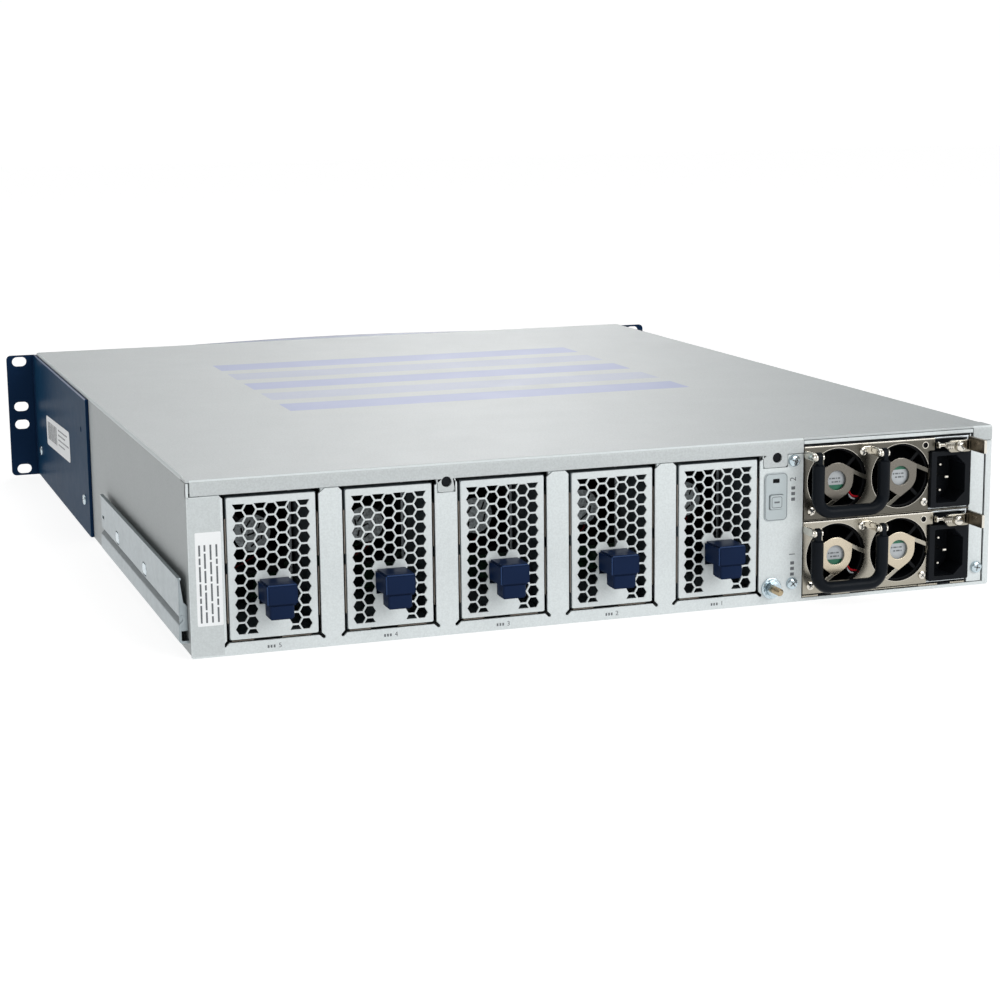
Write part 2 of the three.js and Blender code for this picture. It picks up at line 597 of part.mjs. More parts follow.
// The rear face: two ring openings with guards, the inlet's hole, and the bail's lugs.
function psuFace({ z }) {
  const y1 = PSU_FACE.rear;
  const y0 = y1 - PSU_FACE.thick;
  const plate = box(PSU_RIGHT, PSU.left, y0, y1, z, z + PSU.h);
  const cz = z + PSU_FAN.z;
  const rings = PSU_FAN.x.map((x) => rodY(x, cz, PSU_FAN.ring, y0 - 1, y1 + 1, 20));
  const [inletLow, inletHigh] = [z + INLET.low - GAP, z + INLET.high + GAP];
  const inletHole = box(PSU_RIGHT - 1, INLET.left + GAP, y0 - 1, y1 + 1, inletLow, inletHigh);
  const guards = PSU_FAN.x.flatMap((x, index) => {
    const disc = rodY(x, cz, PSU_FAN.disc, y0, y1, 14);
    const spokes = [35, 155, 245].map((degrees) => {
      const angle = THREE.MathUtils.degToRad(degrees + index * 20);
      return guardSpoke(x, cz, angle, y0, y1);
    });
    return [disc, ...spokes];
  });
  const eyes = PSU_FAN.x.map((x) => rodY(x, cz, PSU_FAN.eye, y0 - 1, y1 + 1, 10));
  const face = cut(join(cut(plate, ...rings), ...guards), inletHole, ...eyes);
  const pivotZ = z + BAIL.z;
  const lugs = BAIL.x.map((x) => {
    const ear = box(x + 1.5, x + 2.7, y1 - 0.2, BAIL.y + 3.2, pivotZ - 3, pivotZ + 3);
    const pin = rodX(BAIL.y, pivotZ, BAIL.pin, x - 2.9, x + 2.6, 6);
    const head = rodX(BAIL.y, pivotZ, 2 * BAIL.pin, x - 2.9, x - 1.7, 8);
    return join(ear, pin, head);
  });
  const { x, y, thick, headOut } = LEVER;
  const post = rodY(x, z + LEVER.z, 1.4, y1 - 0.2, y + 3.2, 8);
  const screwHead = rodY(x, z + LEVER.z, 2.9, y + thick + GAP, y + headOut, 12);
  return join(face, ...lugs, post, screwHead);
}

function psuFans({ z }) {
  const y1 = PSU_FACE.rear - PSU_FACE.thick - 0.4;
  const frames = PSU_FAN.x.map((x) => fanHousing(x, z + PSU_FAN.z, 34.4, 16.2, 8, y1 - 28, y1, 2));
  const bridge = box(-148, -143.8, y1 - 28, y1 - 2, z + 5, z + 34);
  return join(...frames, bridge);
}

// The mains inlet, turned on its side: its chamfered corners and earth pin are towards -X.
function psuInlet({ z }) {
  const y1 = PSU_FACE.rear + INLET.out;
  const [x0, x1] = [PSU_RIGHT + 0.1, INLET.left];
  const body = box(x0, x1, REAR - 22, y1, z + INLET.low, z + INLET.high);
  const innerCut = box(x0 - 1, x0 + 1.3, REAR - 23, PSU_FACE.rear - 0.6, z, z + 36);
  const cz = z + (INLET.low + INLET.high) / 2;
  const [a, b, c] = [x1 - 3.4, x0 + 3.6, 12.8];
  const chamfer = 5.4;
  const opening = outline([a, cz - c], [a, cz + c], [b + chamfer, cz + c], [b, cz + c - chamfer],
    [b, cz - c + chamfer], [b + chamfer, cz - c]);
  const recess = alongY(opening, y1 - INLET.recess, y1 + 1);
  const pinX = a - 5.6;
  const pins = [[pinX, cz + 7], [pinX, cz - 7], [pinX - 4, cz]].map(([x, pz]) =>
    box(x - 1, x + 1, y1 - INLET.recess - 1, y1 - 4, pz - 0.9, pz + 0.9));
  return join(cut(body, recess, innerCut), ...pins);
}

// The bail: two flat eyes on the pivot pins, and a sleeved bar bent into a U.
function psuHandle({ z }) {
  const [left, right] = BAIL.x;
  const top = z + BAIL.z;
  const bar = z + BAIL.bar;
  const { y, r, bend } = BAIL;
  const path = new THREE.CurvePath();
  const at = (x, height) => new THREE.Vector3(x, y, height);
  const turn = (corner, from, to) => new THREE.QuadraticBezierCurve3(from, corner, to);
  path.add(new THREE.LineCurve3(at(left, top - 5), at(left, bar + bend)));
  path.add(turn(at(left, bar), at(left, bar + bend), at(left - bend, bar)));
  path.add(new THREE.LineCurve3(at(left - bend, bar), at(right + bend, bar)));
  path.add(turn(at(right, bar), at(right + bend, bar), at(right, bar + bend)));
  path.add(new THREE.LineCurve3(at(right, bar + bend), at(right, top - 5)));
  const section = new THREE.Shape();
  section.absarc(0, 0, r, 0, Math.PI * 2, false);
  const options = { steps: 18, extrudePath: path, curveSegments: 4, bevelEnabled: false };
  const sleeve = solid(new THREE.ExtrudeGeometry(section, options));
  const eyes = BAIL.x.map((x) => cut(
    alongX(rounded(y, top - 1.5, 5, 8.4, 2.4), x - 1.2, x + 1.2, 2),
    rodX(y, top, BAIL.pin + GAP, x - 2, x + 2, 8),
  ));
  return join(sleeve, ...eyes);
}

// The release lever: a plate that turns on the slotted screw, with a thumb tab.
function psuLatch({ z }) {
  const { x, y, thick, headOut } = LEVER;
  const zc = z + LEVER.z;
  const [tabX, low, high] = [LEVER_TAB.x, z + LEVER_TAB.low, z + LEVER_TAB.high];
  const arm = alongY(rounded(x - 0.4, zc, 14.4, 6.8, 2), y, y + thick, 2);
  const heel = box(x + 6.2, x + 9.6, y, y + headOut, zc - 1.6, zc + 4);
  const tab = box(tabX, tabX + thick, y, REAR + LEVER_TAB.out, low, high);
  const bridge = box(tabX, x - 4, y, y + thick, low, zc + 3.4);
  const hole = rodY(x, zc, 1.8, y - 1, y + thick + 1, 8);
  return cut(join(arm, heel, tab, bridge), hole);
}

// ---------------------------------------------------------------- assembly

piece('chassis_base', chassisBase(), STEEL);
piece('top_cover', topCover(), STEEL);
piece('psu_cage', psuCage(), STEEL);
piece('front_panel', frontPanel(), STEEL);
piece('front_bezel', frontBezel(), NAVY);
piece('power_button', powerButton(), OVERLAY);
piece('copper_ports', copperPorts(), ZINC);
piece('fibre_ports', fibrePorts(), ZINC);
piece('rack_ear_left', rackEar(1), NAVY);
piece('rack_ear_right', rackEar(-1), NAVY);
piece('inner_rail_left', innerRail(1), STEEL);
piece('inner_rail_right', innerRail(-1), STEEL);
piece('mainboard', mainboard(), BOARD);
piece('processor_heatsink', processorHeatsink(), FIN);
piece('memory_modules', memoryModules(), BOARD);
piece('fan_backplane', fanBackplane(), BOARD);
piece('ground_stud', groundStud(), ZINC);
piece('uid_panel', uidPanel(), OVERLAY);
piece('uid_button', uidButton(), OVERLAY);

for (const fan of FANS) {
  const { number, x } = fan;
  piece(`fan_tray_${number}`, fanTray(fan), STEEL);
  piece(`fan_housing_${number}`,
    fanHousing(x, FAN.z, FAN.w, FAN.bore, FAN.hub, FAN.rear - FAN.deep, FAN.rear, 2.4), BLACK);
  piece(`fan_rotor_${number}`,
    rotor(x, FAN.z, FAN.hub - 0.8, FAN.blade, FAN.rear - FAN.deep + 2, FAN.rear - 4, 5), BLACK);
  piece(`fan_latch_${number}`, fanLatch(fan), BLUE);
}

for (const psu of PSUS) {
  const { number, z } = psu;
  const rear = PSU_FACE.rear - PSU_FACE.thick;
  piece(`psu_case_${number}`, psuCase(psu), NICKEL);
  piece(`psu_board_${number}`, psuBoard(psu), BOARD);
  piece(`psu_face_${number}`, psuFace(psu), NICKEL);
  piece(`psu_fans_${number}`, psuFans(psu), BLACK);
  piece(`psu_inlet_${number}`, psuInlet(psu), BLACK);
  PSU_FAN.x.forEach((x, index) => {
    piece(`psu_rotor_${number}${'ab'[index]}`,
      rotor(x, z + PSU_FAN.z, 7.6, PSU_FAN.blade, rear - 27, rear - 4, 5), BLACK);
  });
  piece(`psu_handle_${number}`, psuHandle(psu), RUBBER);
  piece(`psu_latch_${number}`, psuLatch(psu), NICKEL);
}

export default appliance;
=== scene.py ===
"""Visual model of a rack-mount firewall appliance, seen from the rear and above.

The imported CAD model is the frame: +Z up, the rear face with the fans and power supplies
looks along +Y. Every piece is drawn in millimetres and scaled to metres when it is placed.
"""

from math import acos, atan2, ceil, cos, degrees, pi, radians, sin, sqrt

import bmesh
import bpy
from mathutils import Matrix, Vector


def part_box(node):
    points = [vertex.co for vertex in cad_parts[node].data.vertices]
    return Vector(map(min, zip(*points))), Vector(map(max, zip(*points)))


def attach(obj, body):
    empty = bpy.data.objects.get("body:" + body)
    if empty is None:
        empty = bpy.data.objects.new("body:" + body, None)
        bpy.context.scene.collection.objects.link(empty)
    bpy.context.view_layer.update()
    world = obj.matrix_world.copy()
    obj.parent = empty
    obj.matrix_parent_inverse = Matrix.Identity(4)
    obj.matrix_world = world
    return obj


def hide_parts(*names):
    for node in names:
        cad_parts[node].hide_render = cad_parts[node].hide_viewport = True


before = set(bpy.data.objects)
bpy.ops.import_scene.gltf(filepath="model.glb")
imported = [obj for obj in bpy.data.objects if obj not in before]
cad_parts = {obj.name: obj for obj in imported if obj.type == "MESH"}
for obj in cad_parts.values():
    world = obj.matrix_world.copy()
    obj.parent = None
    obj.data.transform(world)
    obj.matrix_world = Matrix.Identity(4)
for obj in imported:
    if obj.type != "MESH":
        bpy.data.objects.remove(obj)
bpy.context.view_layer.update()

MM = 0.001
FANS = (1, 2, 3, 4, 5)
SUPPLIES = (1, 2)


def corners(node):
    """Lowest and highest corner of a CAD node, in millimetres."""
    low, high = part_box(node)
    return low / MM, high / MM


def middle(node):
    low, high = corners(node)
    return (low + high) / 2


SHELL_LOW, SHELL_HIGH = corners("chassis_base")
COVER_LOW, COVER_HIGH = corners("top_cover")
HALF, REAR, FRONT = SHELL_HIGH.x, SHELL_HIGH.y, SHELL_LOW.y
HEIGHT, WALL_TOP = COVER_HIGH.z, SHELL_HIGH.z
TAB_LOW = COVER_LOW.z
SHEET = 1.2
GAP = 0.3
LIP_LOW = HEIGHT - 8
TAB_JOIN = LIP_LOW + 3
FAN_X = {n: middle(f"fan_tray_{n}").x for n in FANS}
FAN_PITCH = FAN_X[2] - FAN_X[1]
SUPPLY_LOW = {n: corners(f"psu_case_{n}")[0].z for n in SUPPLIES}
OPENING = {"half": 23.8, "low": 6.3}
BAY = {"left": -107.3, "right": -217.1, "low": 1.8, "high": 84.6}
END_LIP = BAY["right"] + 8
# The cover's screw tabs: their two sides and the middle of the hole, along x.
TABS = ((85.6, 94.4, 89.7), (-98, -84.2, -92.1))
TAB_SCREW_Z = 78.45
LIP_RADIUS, SIDE_RADIUS = 2.0, 1.6
EAR_HOLE = (-54.8, 65.3)
KEYHOLES = (83, 168)


# ---------------------------------------------------------------- materials


def noise_node(nodes, links, vector, scale, detail=3.0, rough=0.55):
    node = nodes.new("ShaderNodeTexNoise")
    node.inputs["Scale"].default_value = scale
    node.inputs["Detail"].default_value = detail
    node.inputs["Roughness"].default_value = rough
    links.new(vector, node.inputs["Vector"])
    return node


def ramp_node(nodes, links, value, stops):
    node = nodes.new("ShaderNodeValToRGB")
    ramp = node.color_ramp
    while len(ramp.elements) < len(stops):
        ramp.elements.new(0.5)
    for element, (at, colour) in zip(ramp.elements, stops):
        element.position = at
        element.color = (*colour, 1.0)
    links.new(value, node.inputs["Fac"])
    return node


def shade(colour, factor):
    return tuple(min(1.0, c * factor) for c in colour)


def finish(name, colour, rough, metal=0.0, mottle=0.06, mottle_scale=45.0, speck=0.0, speck_scale=2600.0,
           bump=0.0, bump_scale=1800.0, stretch=(1.0, 1.0, 1.0), rough_spread=0.08, **sockets):
    """A surface with cloudy colour variation, fine speckle, uneven gloss and a fine bump."""
    material = bpy.data.materials.new(name)
    material.use_nodes = True
    nodes, links = material.node_tree.nodes, material.node_tree.links
    shader = nodes["Principled BSDF"]
    shader.inputs["Metallic"].default_value = metal
    for socket, value in sockets.items():
        shader.inputs[socket.replace("_", " ")].default_value = value
    place = nodes.new("ShaderNodeTexCoord")
    mapping = nodes.new("ShaderNodeMapping")
    mapping.inputs["Scale"].default_value = stretch
    links.new(place.outputs["Object"], mapping.inputs["Vector"])
    where = mapping.outputs["Vector"]
    cloud = noise_node(nodes, links, where, mottle_scale)
    tint = ramp_node(nodes, links, cloud.outputs["Fac"],
                     [(0.3, shade(colour, 1 - mottle)), (0.7, shade(colour, 1 + mottle))])
    result = tint.outputs["Color"]
    fine = noise_node(nodes, links, where, speck_scale, detail=2.0)
    if speck:
        dots = ramp_node(nodes, links, fine.outputs["Fac"],
                         [(0.35, (1 - speck,) * 3), (0.65, (1.0, 1.0, 1.0))])
        mix = nodes.new("ShaderNodeMix")
        mix.data_type = "RGBA"
        mix.blend_type = "MULTIPLY"
        mix.inputs["Factor"].default_value = 1.0
        links.new(result, mix.inputs["A"])
        links.new(dots.outputs["Color"], mix.inputs["B"])
        result = mix.outputs["Result"]
    links.new(result, shader.inputs["Base Color"])
    gloss = nodes.new("ShaderNodeMapRange")
    gloss.inputs["From Min"].default_value = 0.3
    gloss.inputs["From Max"].default_value = 0.7
    gloss.inputs["To Min"].default_value = max(0.02, rough - rough_spread)
    gloss.inputs["To Max"].default_value = min(1.0, rough + rough_spread)
    links.new(noise_node(nodes, links, where, mottle_scale * 3.3).outputs["Fac"], gloss.inputs["Value"])
    links.new(gloss.outputs["Result"], shader.inputs["Roughness"])
    if bump:
        relief = nodes.new("ShaderNodeBump")
        relief.inputs["Strength"].default_value = 0.6
        relief.inputs["Distance"].default_value = bump * MM
        links.new(noise_node(nodes, links, where, bump_scale).outputs["Fac"], relief.inputs["Height"])
        links.new(relief.outputs["Normal"], shader.inputs["Normal"])
    return material


POWDER = (0.56, 0.60, 0.605)
NICKEL_TONE = (0.40, 0.375, 0.315)
PLASTIC = {"Specular_IOR_Level": 0.08}

# What the finishes of one kind have in common.
COAT_GRAIN = {"mottle_scale": 14, "speck_scale": 1150, "bump": 0.03, "bump_scale": 1400}
SATIN = {"mottle": 0.012, "rough_spread": 0.01, "Specular_IOR_Level": 0.12, **COAT_GRAIN}
ROLLED = {"metal": 0.9, "mottle": 0.06, "mottle_scale": 110, "speck": 0.06, "rough_spread": 0.04}
ENAMEL = {"mottle": 0.05, "mottle_scale": 30, "speck_scale": 1500, "bump": 0.015, "rough_spread": 0.02}
PLATING = {"metal": 1.0, "mottle": 0.04, "mottle_scale": 60, "speck": 0.04, "rough_spread": 0.03,
           "bump": 0.01, "bump_scale": 1600}
GUARD_WIRE = {"metal": 1.0, "mottle": 0.05, "mottle_scale": 80, "speck": 0.04, "rough_spread": 0.04}

COVER_COAT = finish("cover_powder_coat", shade(POWDER, 0.89), 0.44, metal=0.05, mottle=0.02, speck=0.12,
                    rough_spread=0.02, Specular_IOR_Level=0.45, **COAT_GRAIN)
# A darker copy of the chassis powder coat for the floor and side walls: painted shade on the sides.
SIDE_COAT_IN_PAINTED_SHADE = finish("side_powder_coat_in_painted_shade", shade(POWDER, 0.72), 0.46, metal=0.05, speck=0.09, **SATIN)
PAINT = finish("chassis_powder_coat", shade(POWDER, 1.16), 0.46, metal=0.12, speck=0.09, **SATIN)
RAIL_STEEL = finish("rolled_rail", (0.35, 0.40, 0.42), 0.36, **ROLLED)
RAW_STEEL = finish("galvanised_sheet", (0.56, 0.60, 0.62), 0.36, **ROLLED)
NAVY = finish("navy_paint", (0.0085, 0.025, 0.064), 0.34, speck=0.08, Specular_IOR_Level=0.004, **ENAMEL)
WEB_NAVY = finish("navy_paint_in_light", (0.010, 0.042, 0.092), 0.34, speck=0.08, Specular_IOR_Level=0.006,
                  **ENAMEL)
# A darker copy of the rear wall's coat, painted shade on the wall's outer end.
REAR_END_SHADE_COAT = finish("rear_end_painted_shade_coat", shade(POWDER, 0.98), 0.46, metal=0.12, speck=0.09, **SATIN)
TRAY_COAT = finish("tray_powder_coat", shade(POWDER, 1.12), 0.44, metal=0.08, speck=0.07, **SATIN)
# A lighter copy of the powder coat, painted on the cover's bends as their highlights.
EDGE_HIGHLIGHT = finish("cover_edge_painted_highlight", shade(POWDER, 1.3), 0.42, mottle=0.012, mottle_scale=14, speck=0.05,
                   speck_scale=1150, rough_spread=0.01, Specular_IOR_Level=0.2)
BEZEL_BLUE = finish("bezel_blue", (0.045, 0.095, 0.22), 0.34, speck=0.06, Specular_IOR_Level=0.3, **ENAMEL)
BLUE = finish("bezel_blue", (0.045, 0.095, 0.22), 0.34, mottle=0.05, mottle_scale=30, speck=0.06,
              speck_scale=1500, bump=0.015, rough_spread=0.02, Specular_IOR_Level=0.3)
BLUE = finish("latch_blue_plastic", (0.0035, 0.0125, 0.044), 0.36, mottle=0.08, bump=0.02, bump_scale=900,
              rough_spread=0.03, **PLASTIC)
# A lighter blue for thin rods along the latch head's edges: painted highlights.
BLUE_EDGE_HIGHLIGHT = finish("latch_blue_painted_highlight", (0.022, 0.045, 0.115), 0.30, mottle=0.08, **PLASTIC)
BLACK = finish("black_moulding", (0.007, 0.0085, 0.011), 0.42, mottle=0.15, bump=0.03, bump_scale=1200,
               **PLASTIC)
DEEP_BLACK = finish("black_blades", (0.0045, 0.005, 0.006), 0.42, mottle=0.2, **PLASTIC)
VINYL = finish("vinyl_sleeve", (0.0045, 0.0065, 0.0095), 0.36, mottle=0.15, bump=0.015, bump_scale=700,
               **PLASTIC)
NICKEL = finish("nickel_plate", NICKEL_TONE, 0.27, **PLATING)
NICKEL_DIM = finish("nickel_plate_in_shade", (0.125, 0.118, 0.100), 0.27, **PLATING)
GUARD = finish("nickel_guard", (0.60, 0.53, 0.41), 0.25, **GUARD_WIRE)
GUARD_DARK = finish("nickel_guard_in_shade", (0.18, 0.167, 0.145), 0.28, **GUARD_WIRE)
BRIGHT = finish("bright_nickel", (0.72, 0.69, 0.62), 0.16, metal=1.0, mottle=0.06, mottle_scale=300)
BRONZE = finish("lever_bronze", (0.16, 0.135, 0.10), 0.32, metal=0.9, mottle=0.15, mottle_scale=200)
ZINC = finish("blue_zinc", (0.56, 0.66, 0.71), 0.20, metal=1.0, mottle=0.08, mottle_scale=500, speck=0.06)
BRASS = finish("stud_brass", (0.42, 0.34, 0.22), 0.30, metal=0.9, mottle=0.12, mottle_scale=300)
TIN = finish("gasket_tin", (0.20, 0.175, 0.15), 0.40, metal=0.9, mottle=0.18, mottle_scale=260)
TRAY_INSIDE = finish("shaded_sheet", (0.10, 0.125, 0.14), 0.45, metal=0.3, mottle=0.1, mottle_scale=200,
                     speck=0.1)
BOARD_SIDE = finish("solder_mask", (0.012, 0.085, 0.035), 0.35, mottle=0.25, mottle_scale=420, speck=0.35,
                    speck_scale=1100, bump=0.05, bump_scale=1100)
FIN = finish("extruded_aluminium", (0.62, 0.63, 0.64), 0.32, metal=1.0, mottle=0.06,
             stretch=(1.0, 12.0, 1.0))
GOLD = finish("contact_gold", (0.83, 0.58, 0.22), 0.22, metal=1.0)
PAPER = finish("label_paper", (0.80, 0.82, 0.83), 0.55, mottle=0.02, speck=0.03)
SOFT_INK = finish("grey_print", (0.11, 0.12, 0.13), 0.55, mottle=0.2, mottle_scale=900)
KEYPAD = finish("keypad_film", (0.42, 0.475, 0.49), 0.40, mottle=0.03, bump=0.02, rough_spread=0.02)
GREEN_PRINT = finish("green_label_band", (0.01, 0.13, 0.07), 0.4, mottle=0.2, mottle_scale=700)
MOTOR = finish("motor_label", (0.46, 0.51, 0.53), 0.40, mottle=0.25, mottle_scale=520, speck=0.55,
               speck_scale=900)
HUB = finish("hub_label", (0.42, 0.45, 0.47), 0.35, mottle=0.08, speck=0.05)
RED = finish("red_insulation", (0.30, 0.006, 0.012), 0.4, mottle=0.15, **PLASTIC)
RED_SHADED = finish("red_insulation_in_shade", (0.085, 0.004, 0.005), 0.5, mottle=0.15, **PLASTIC)
LAMP = finish("lamp_lens", (0.004, 0.005, 0.006), 0.2, mottle=0.2, **PLASTIC)
GREEN_LAMP = finish("green_lens", (0.05, 0.42, 0.16), 0.2, mottle=0.1)
SLOT_SHADOW = finish("screw_recess", (0.16, 0.17, 0.175), 0.5, metal=0.6)
PRINT = {"x": -5, "y": -30, "half_x": 125, "half_y": 118, "pitch": 47.2, "fill": 0.62, "line": 3.6,
         "tone": (0.28, 0.33, 0.58), "strength": 0.75}


def printed_paint():
    """The cover's powder coat with a plain block of pale blue printed bars on its top."""
    material = COVER_COAT
    nodes, links = material.node_tree.nodes, material.node_tree.links
    shader = nodes["Principled BSDF"]
    base = shader.inputs["Base Color"].links[0].from_socket
    place = nodes.new("ShaderNodeTexCoord")
    split = nodes.new("ShaderNodeSeparateXYZ")
    links.new(place.outputs["Object"], split.inputs["Vector"])

    def maths(operation, a, b=None):
        node = nodes.new("ShaderNodeMath")
        node.operation = operation
        for socket, value in zip(node.inputs, (a, b)):
            if value is None:
                continue
            if isinstance(value, (int, float)):
                socket.default_value = value
            else:
                links.new(value, socket)
        return node.outputs["Value"]

    def within(axis, centre, half):
        away = maths("ABSOLUTE", maths("SUBTRACT", split.outputs[axis], centre * MM))
        return maths("LESS_THAN", away, half * MM)

    field = maths("MULTIPLY", within("X", PRINT["x"], PRINT["half_x"]),
                  within("Y", PRINT["y"], PRINT["half_y"]))
    along = maths("DIVIDE", maths("SUBTRACT", split.outputs["Y"], (PRINT["y"] - PRINT["half_y"]) * MM),
                  PRINT["pitch"] * MM)
    bars = maths("LESS_THAN", maths("FRACT", along), PRINT["fill"])
    alternate = maths("LESS_THAN", maths("FRACT", maths("MULTIPLY", along, 0.5)), 0.5)
    hatch = maths("LESS_THAN", maths("FRACT", maths("DIVIDE", split.outputs["Y"], PRINT["line"] * MM)),
                  0.55)
    solid_or_hatched = maths("MAXIMUM", alternate, hatch)
    mask = maths("MULTIPLY", maths("MULTIPLY", field, bars), solid_or_hatched)
    top_only = maths("GREATER_THAN", split.outputs["Z"], (HEIGHT - 0.2) * MM)
    tinted = nodes.new("ShaderNodeMix")
    tinted.data_type = "RGBA"
    tinted.inputs["B"].default_value = (*PRINT["tone"], 1.0)
    links.new(maths("MULTIPLY", maths("MULTIPLY", mask, top_only), PRINT["strength"]),
              tinted.inputs["Factor"])
    links.new(base, tinted.inputs["A"])
    links.new(tinted.outputs["Result"], shader.inputs["Base Color"])
    return material


COVER_PAINT = printed_paint()


# ---------------------------------------------------------------- outlines, in two dimensions


def arc(a, b, radius, start, end, steps):
    """Points on a circle round (a, b) between two angles in degrees."""
    turn = (radians(start + (end - start) * i / steps) for i in range(steps + 1))
    return [(a + radius * cos(t), b + radius * sin(t)) for t in turn]


def circle(a, b, radius, steps=40):
    return arc(a, b, radius, 0, 360, steps)[:-1]


def rect(a0, a1, b0, b1):
    return [(a0, b0), (a1, b0), (a1, b1), (a0, b1)]


def rounded(a0, a1, b0, b1, r, steps=6):
    return (arc(a1 - r, b0 + r, r, -90, 0, steps) + arc(a1 - r, b1 - r, r, 0, 90, steps)
            + arc(a0 + r, b1 - r, r, 90, 180, steps) + arc(a0 + r, b0 + r, r, 180, 270, steps))


def oriented(axis, a, b, along):
    """A point from two outline coordinates and a place along the axis they face."""
    return {"x": (along, a, b), "y": (a, along, b), "z": (a, b, along)}[axis]


# ---------------------------------------------------------------- solids


def drawn(curve):
    """The mesh that a curve or a numeral draws; the curve itself is removed."""
    holder = bpy.data.objects.new(curve.name, curve)
    bpy.context.scene.collection.objects.link(holder)
    graph = bpy.context.evaluated_depsgraph_get()
    mesh = bpy.data.meshes.new_from_object(holder.evaluated_get(graph))
    part = bmesh.new()
    part.from_mesh(mesh)
    bpy.data.objects.remove(holder)
    bpy.data.curves.remove(curve)
    bpy.data.meshes.remove(mesh)
    return part


class Shape:
    """Gathers solids, in millimetres, into one mesh with several materials."""

    def __init__(self, material):
        self.mesh = bmesh.new()
        self.materials = []
        self.use(material)

    def use(self, material):
        if material not in self.materials:
            self.materials.append(material)
        self.index = self.materials.index(material)
        return self

    def take(self, part, matrix=None):
        """Copies a temporary mesh in, with the current material, and frees it."""
        bmesh.ops.remove_doubles(part, verts=part.verts, dist=1e-4)
        bmesh.ops.recalc_face_normals(part, faces=part.faces)
        if matrix is not None:
            part.transform(matrix)
        copies = {v: self.mesh.verts.new(v.co) for v in part.verts}
        for face in part.faces:
            made = self.mesh.faces.new([copies[v] for v in face.verts])
            made.material_index = self.index
            made.smooth = True
        part.free()
        return self

    def box(self, x0, x1, y0, y1, z0, z1, edge=0.25, matrix=None):
        part = bmesh.new()
        bmesh.ops.create_cube(part, size=1)
        size = Matrix.Diagonal((abs(x1 - x0), abs(y1 - y0), abs(z1 - z0), 1))
        part.transform(Matrix.Translation(((x0 + x1) / 2, (y0 + y1) / 2, (z0 + z1) / 2)) @ size)
        limit = 0.45 * min(abs(x1 - x0), abs(y1 - y0), abs(z1 - z0))
        bmesh.ops.bevel(part, geom=part.edges[:], offset=min(edge, limit), segments=2, affect="EDGES",
                        profile=0.6)
        return self.take(part, matrix)

    def prism(self, outline, axis, low, high, edge=0.2, matrix=None):
        """An outline carried along an axis, with its sharp edges eased."""
        part = bmesh.new()
        ends = [[part.verts.new(oriented(axis, a, b, at)) for a, b in outline] for at in (low, high)]
        count = len(outline)
        part.faces.new(ends[0][::-1])
        part.faces.new(ends[1])
        for i in range(count):
            j = (i + 1) % count
            part.faces.new((ends[0][i], ends[0][j], ends[1][j], ends[1][i]))
        bmesh.ops.recalc_face_normals(part, faces=part.faces)
        if edge:
            sharp = [e for e in part.edges if e.calc_face_angle(0) > radians(32)]
            bmesh.ops.bevel(part, geom=sharp, offset=edge, segments=2, affect="EDGES", clamp_overlap=True)
        return self.take(part, matrix)

    def lathe(self, axis, centre, profile, steps=32, matrix=None):
        """Turns (radius, place along the axis) points about an axis through centre."""
        part = bmesh.new()
        a, b = centre
        rings = []
        for radius, at in profile:
            if radius == 0:
                rings.append([part.verts.new(oriented(axis, a, b, at))])
                continue
            rings.append([part.verts.new(oriented(axis, p, q, at)) for p, q in circle(a, b, radius, steps)])
        for near, far in zip(rings, rings[1:]):
            for i in range(steps):
                j = (i + 1) % steps
                loop = [near[i % len(near)], near[j % len(near)], far[j % len(far)], far[i % len(far)]]
                part.faces.new(list(dict.fromkeys(loop)))
        return self.take(part, matrix)

    def rod(self, axis, centre, radius, low, high, steps=32, edge=0.2, matrix=None):
        edge = min(edge, radius * 0.4, abs(high - low) * 0.4)
        profile = [(0, low), (radius - edge, low), (radius - edge * 0.3, low + edge * 0.3),
                   (radius, low + edge), (radius, high - edge),
                   (radius - edge * 0.3, high - edge * 0.3), (radius - edge, high), (0, high)]
        return self.lathe(axis, centre, profile, steps, matrix)

    def tube(self, points, radius, sides=12):
        """A round tube that follows a list of points, with closed ends."""
        part = bmesh.new()
        points = [Vector(p) for p in points]
        ahead = (points[1] - points[0]).normalized()
        side = ahead.orthogonal().normalized()
        rings = []
        for i, point in enumerate(points):
            after = points[min(i + 1, len(points) - 1)] - points[max(i - 1, 0)]
            turn = ahead.rotation_difference(after.normalized())
            side.rotate(turn)
            ahead = after.normalized()
            up = ahead.cross(side)
            ring = [part.verts.new(point + side * (radius * c) + up * (radius * s)) for c,
                    s in circle(0, 0, 1, sides)]
            rings.append(ring)
        for near, far in zip(rings, rings[1:]):
            for i in range(sides):
                j = (i + 1) % sides
                part.faces.new((near[i], near[j], far[j], far[i]))
        part.faces.new(rings[0][::-1])
        part.faces.new(rings[-1])
        return self.take(part)

    def plate(self, outlines, axis, low, high, edge=0.2, shape=None):
        """A sheet cut to outlines, of which the inner ones are holes, with eased edges."""
        curve = bpy.data.curves.new("outline", "CURVE")
        curve.dimensions = "2D"
        curve.fill_mode = "BOTH"
        thick = abs(high - low)
        edge = min(edge, thick * 0.45)
        curve.extrude = thick / 2 - edge
        curve.bevel_depth = edge
        curve.bevel_resolution = 1
        curve.offset = -edge
        for outline in outlines:
            spline = curve.splines.new("POLY")
            spline.points.add(len(outline) - 1)
            spline.use_cyclic_u = True
            for point, (a, b) in zip(spline.points, outline):
                point.co = (a, b, 0, 1)
        part = drawn(curve)
        rows = [oriented(axis, 1, 0, 0), oriented(axis, 0, 1, 0), oriented(axis, 0, 0, 1)]
        matrix = Matrix(rows).transposed().to_4x4()
        part.transform(Matrix.Translation(Vector(rows[2]) * ((low + high) / 2)) @ matrix)
        if shape:
            shape(part)
        return self.take(part)

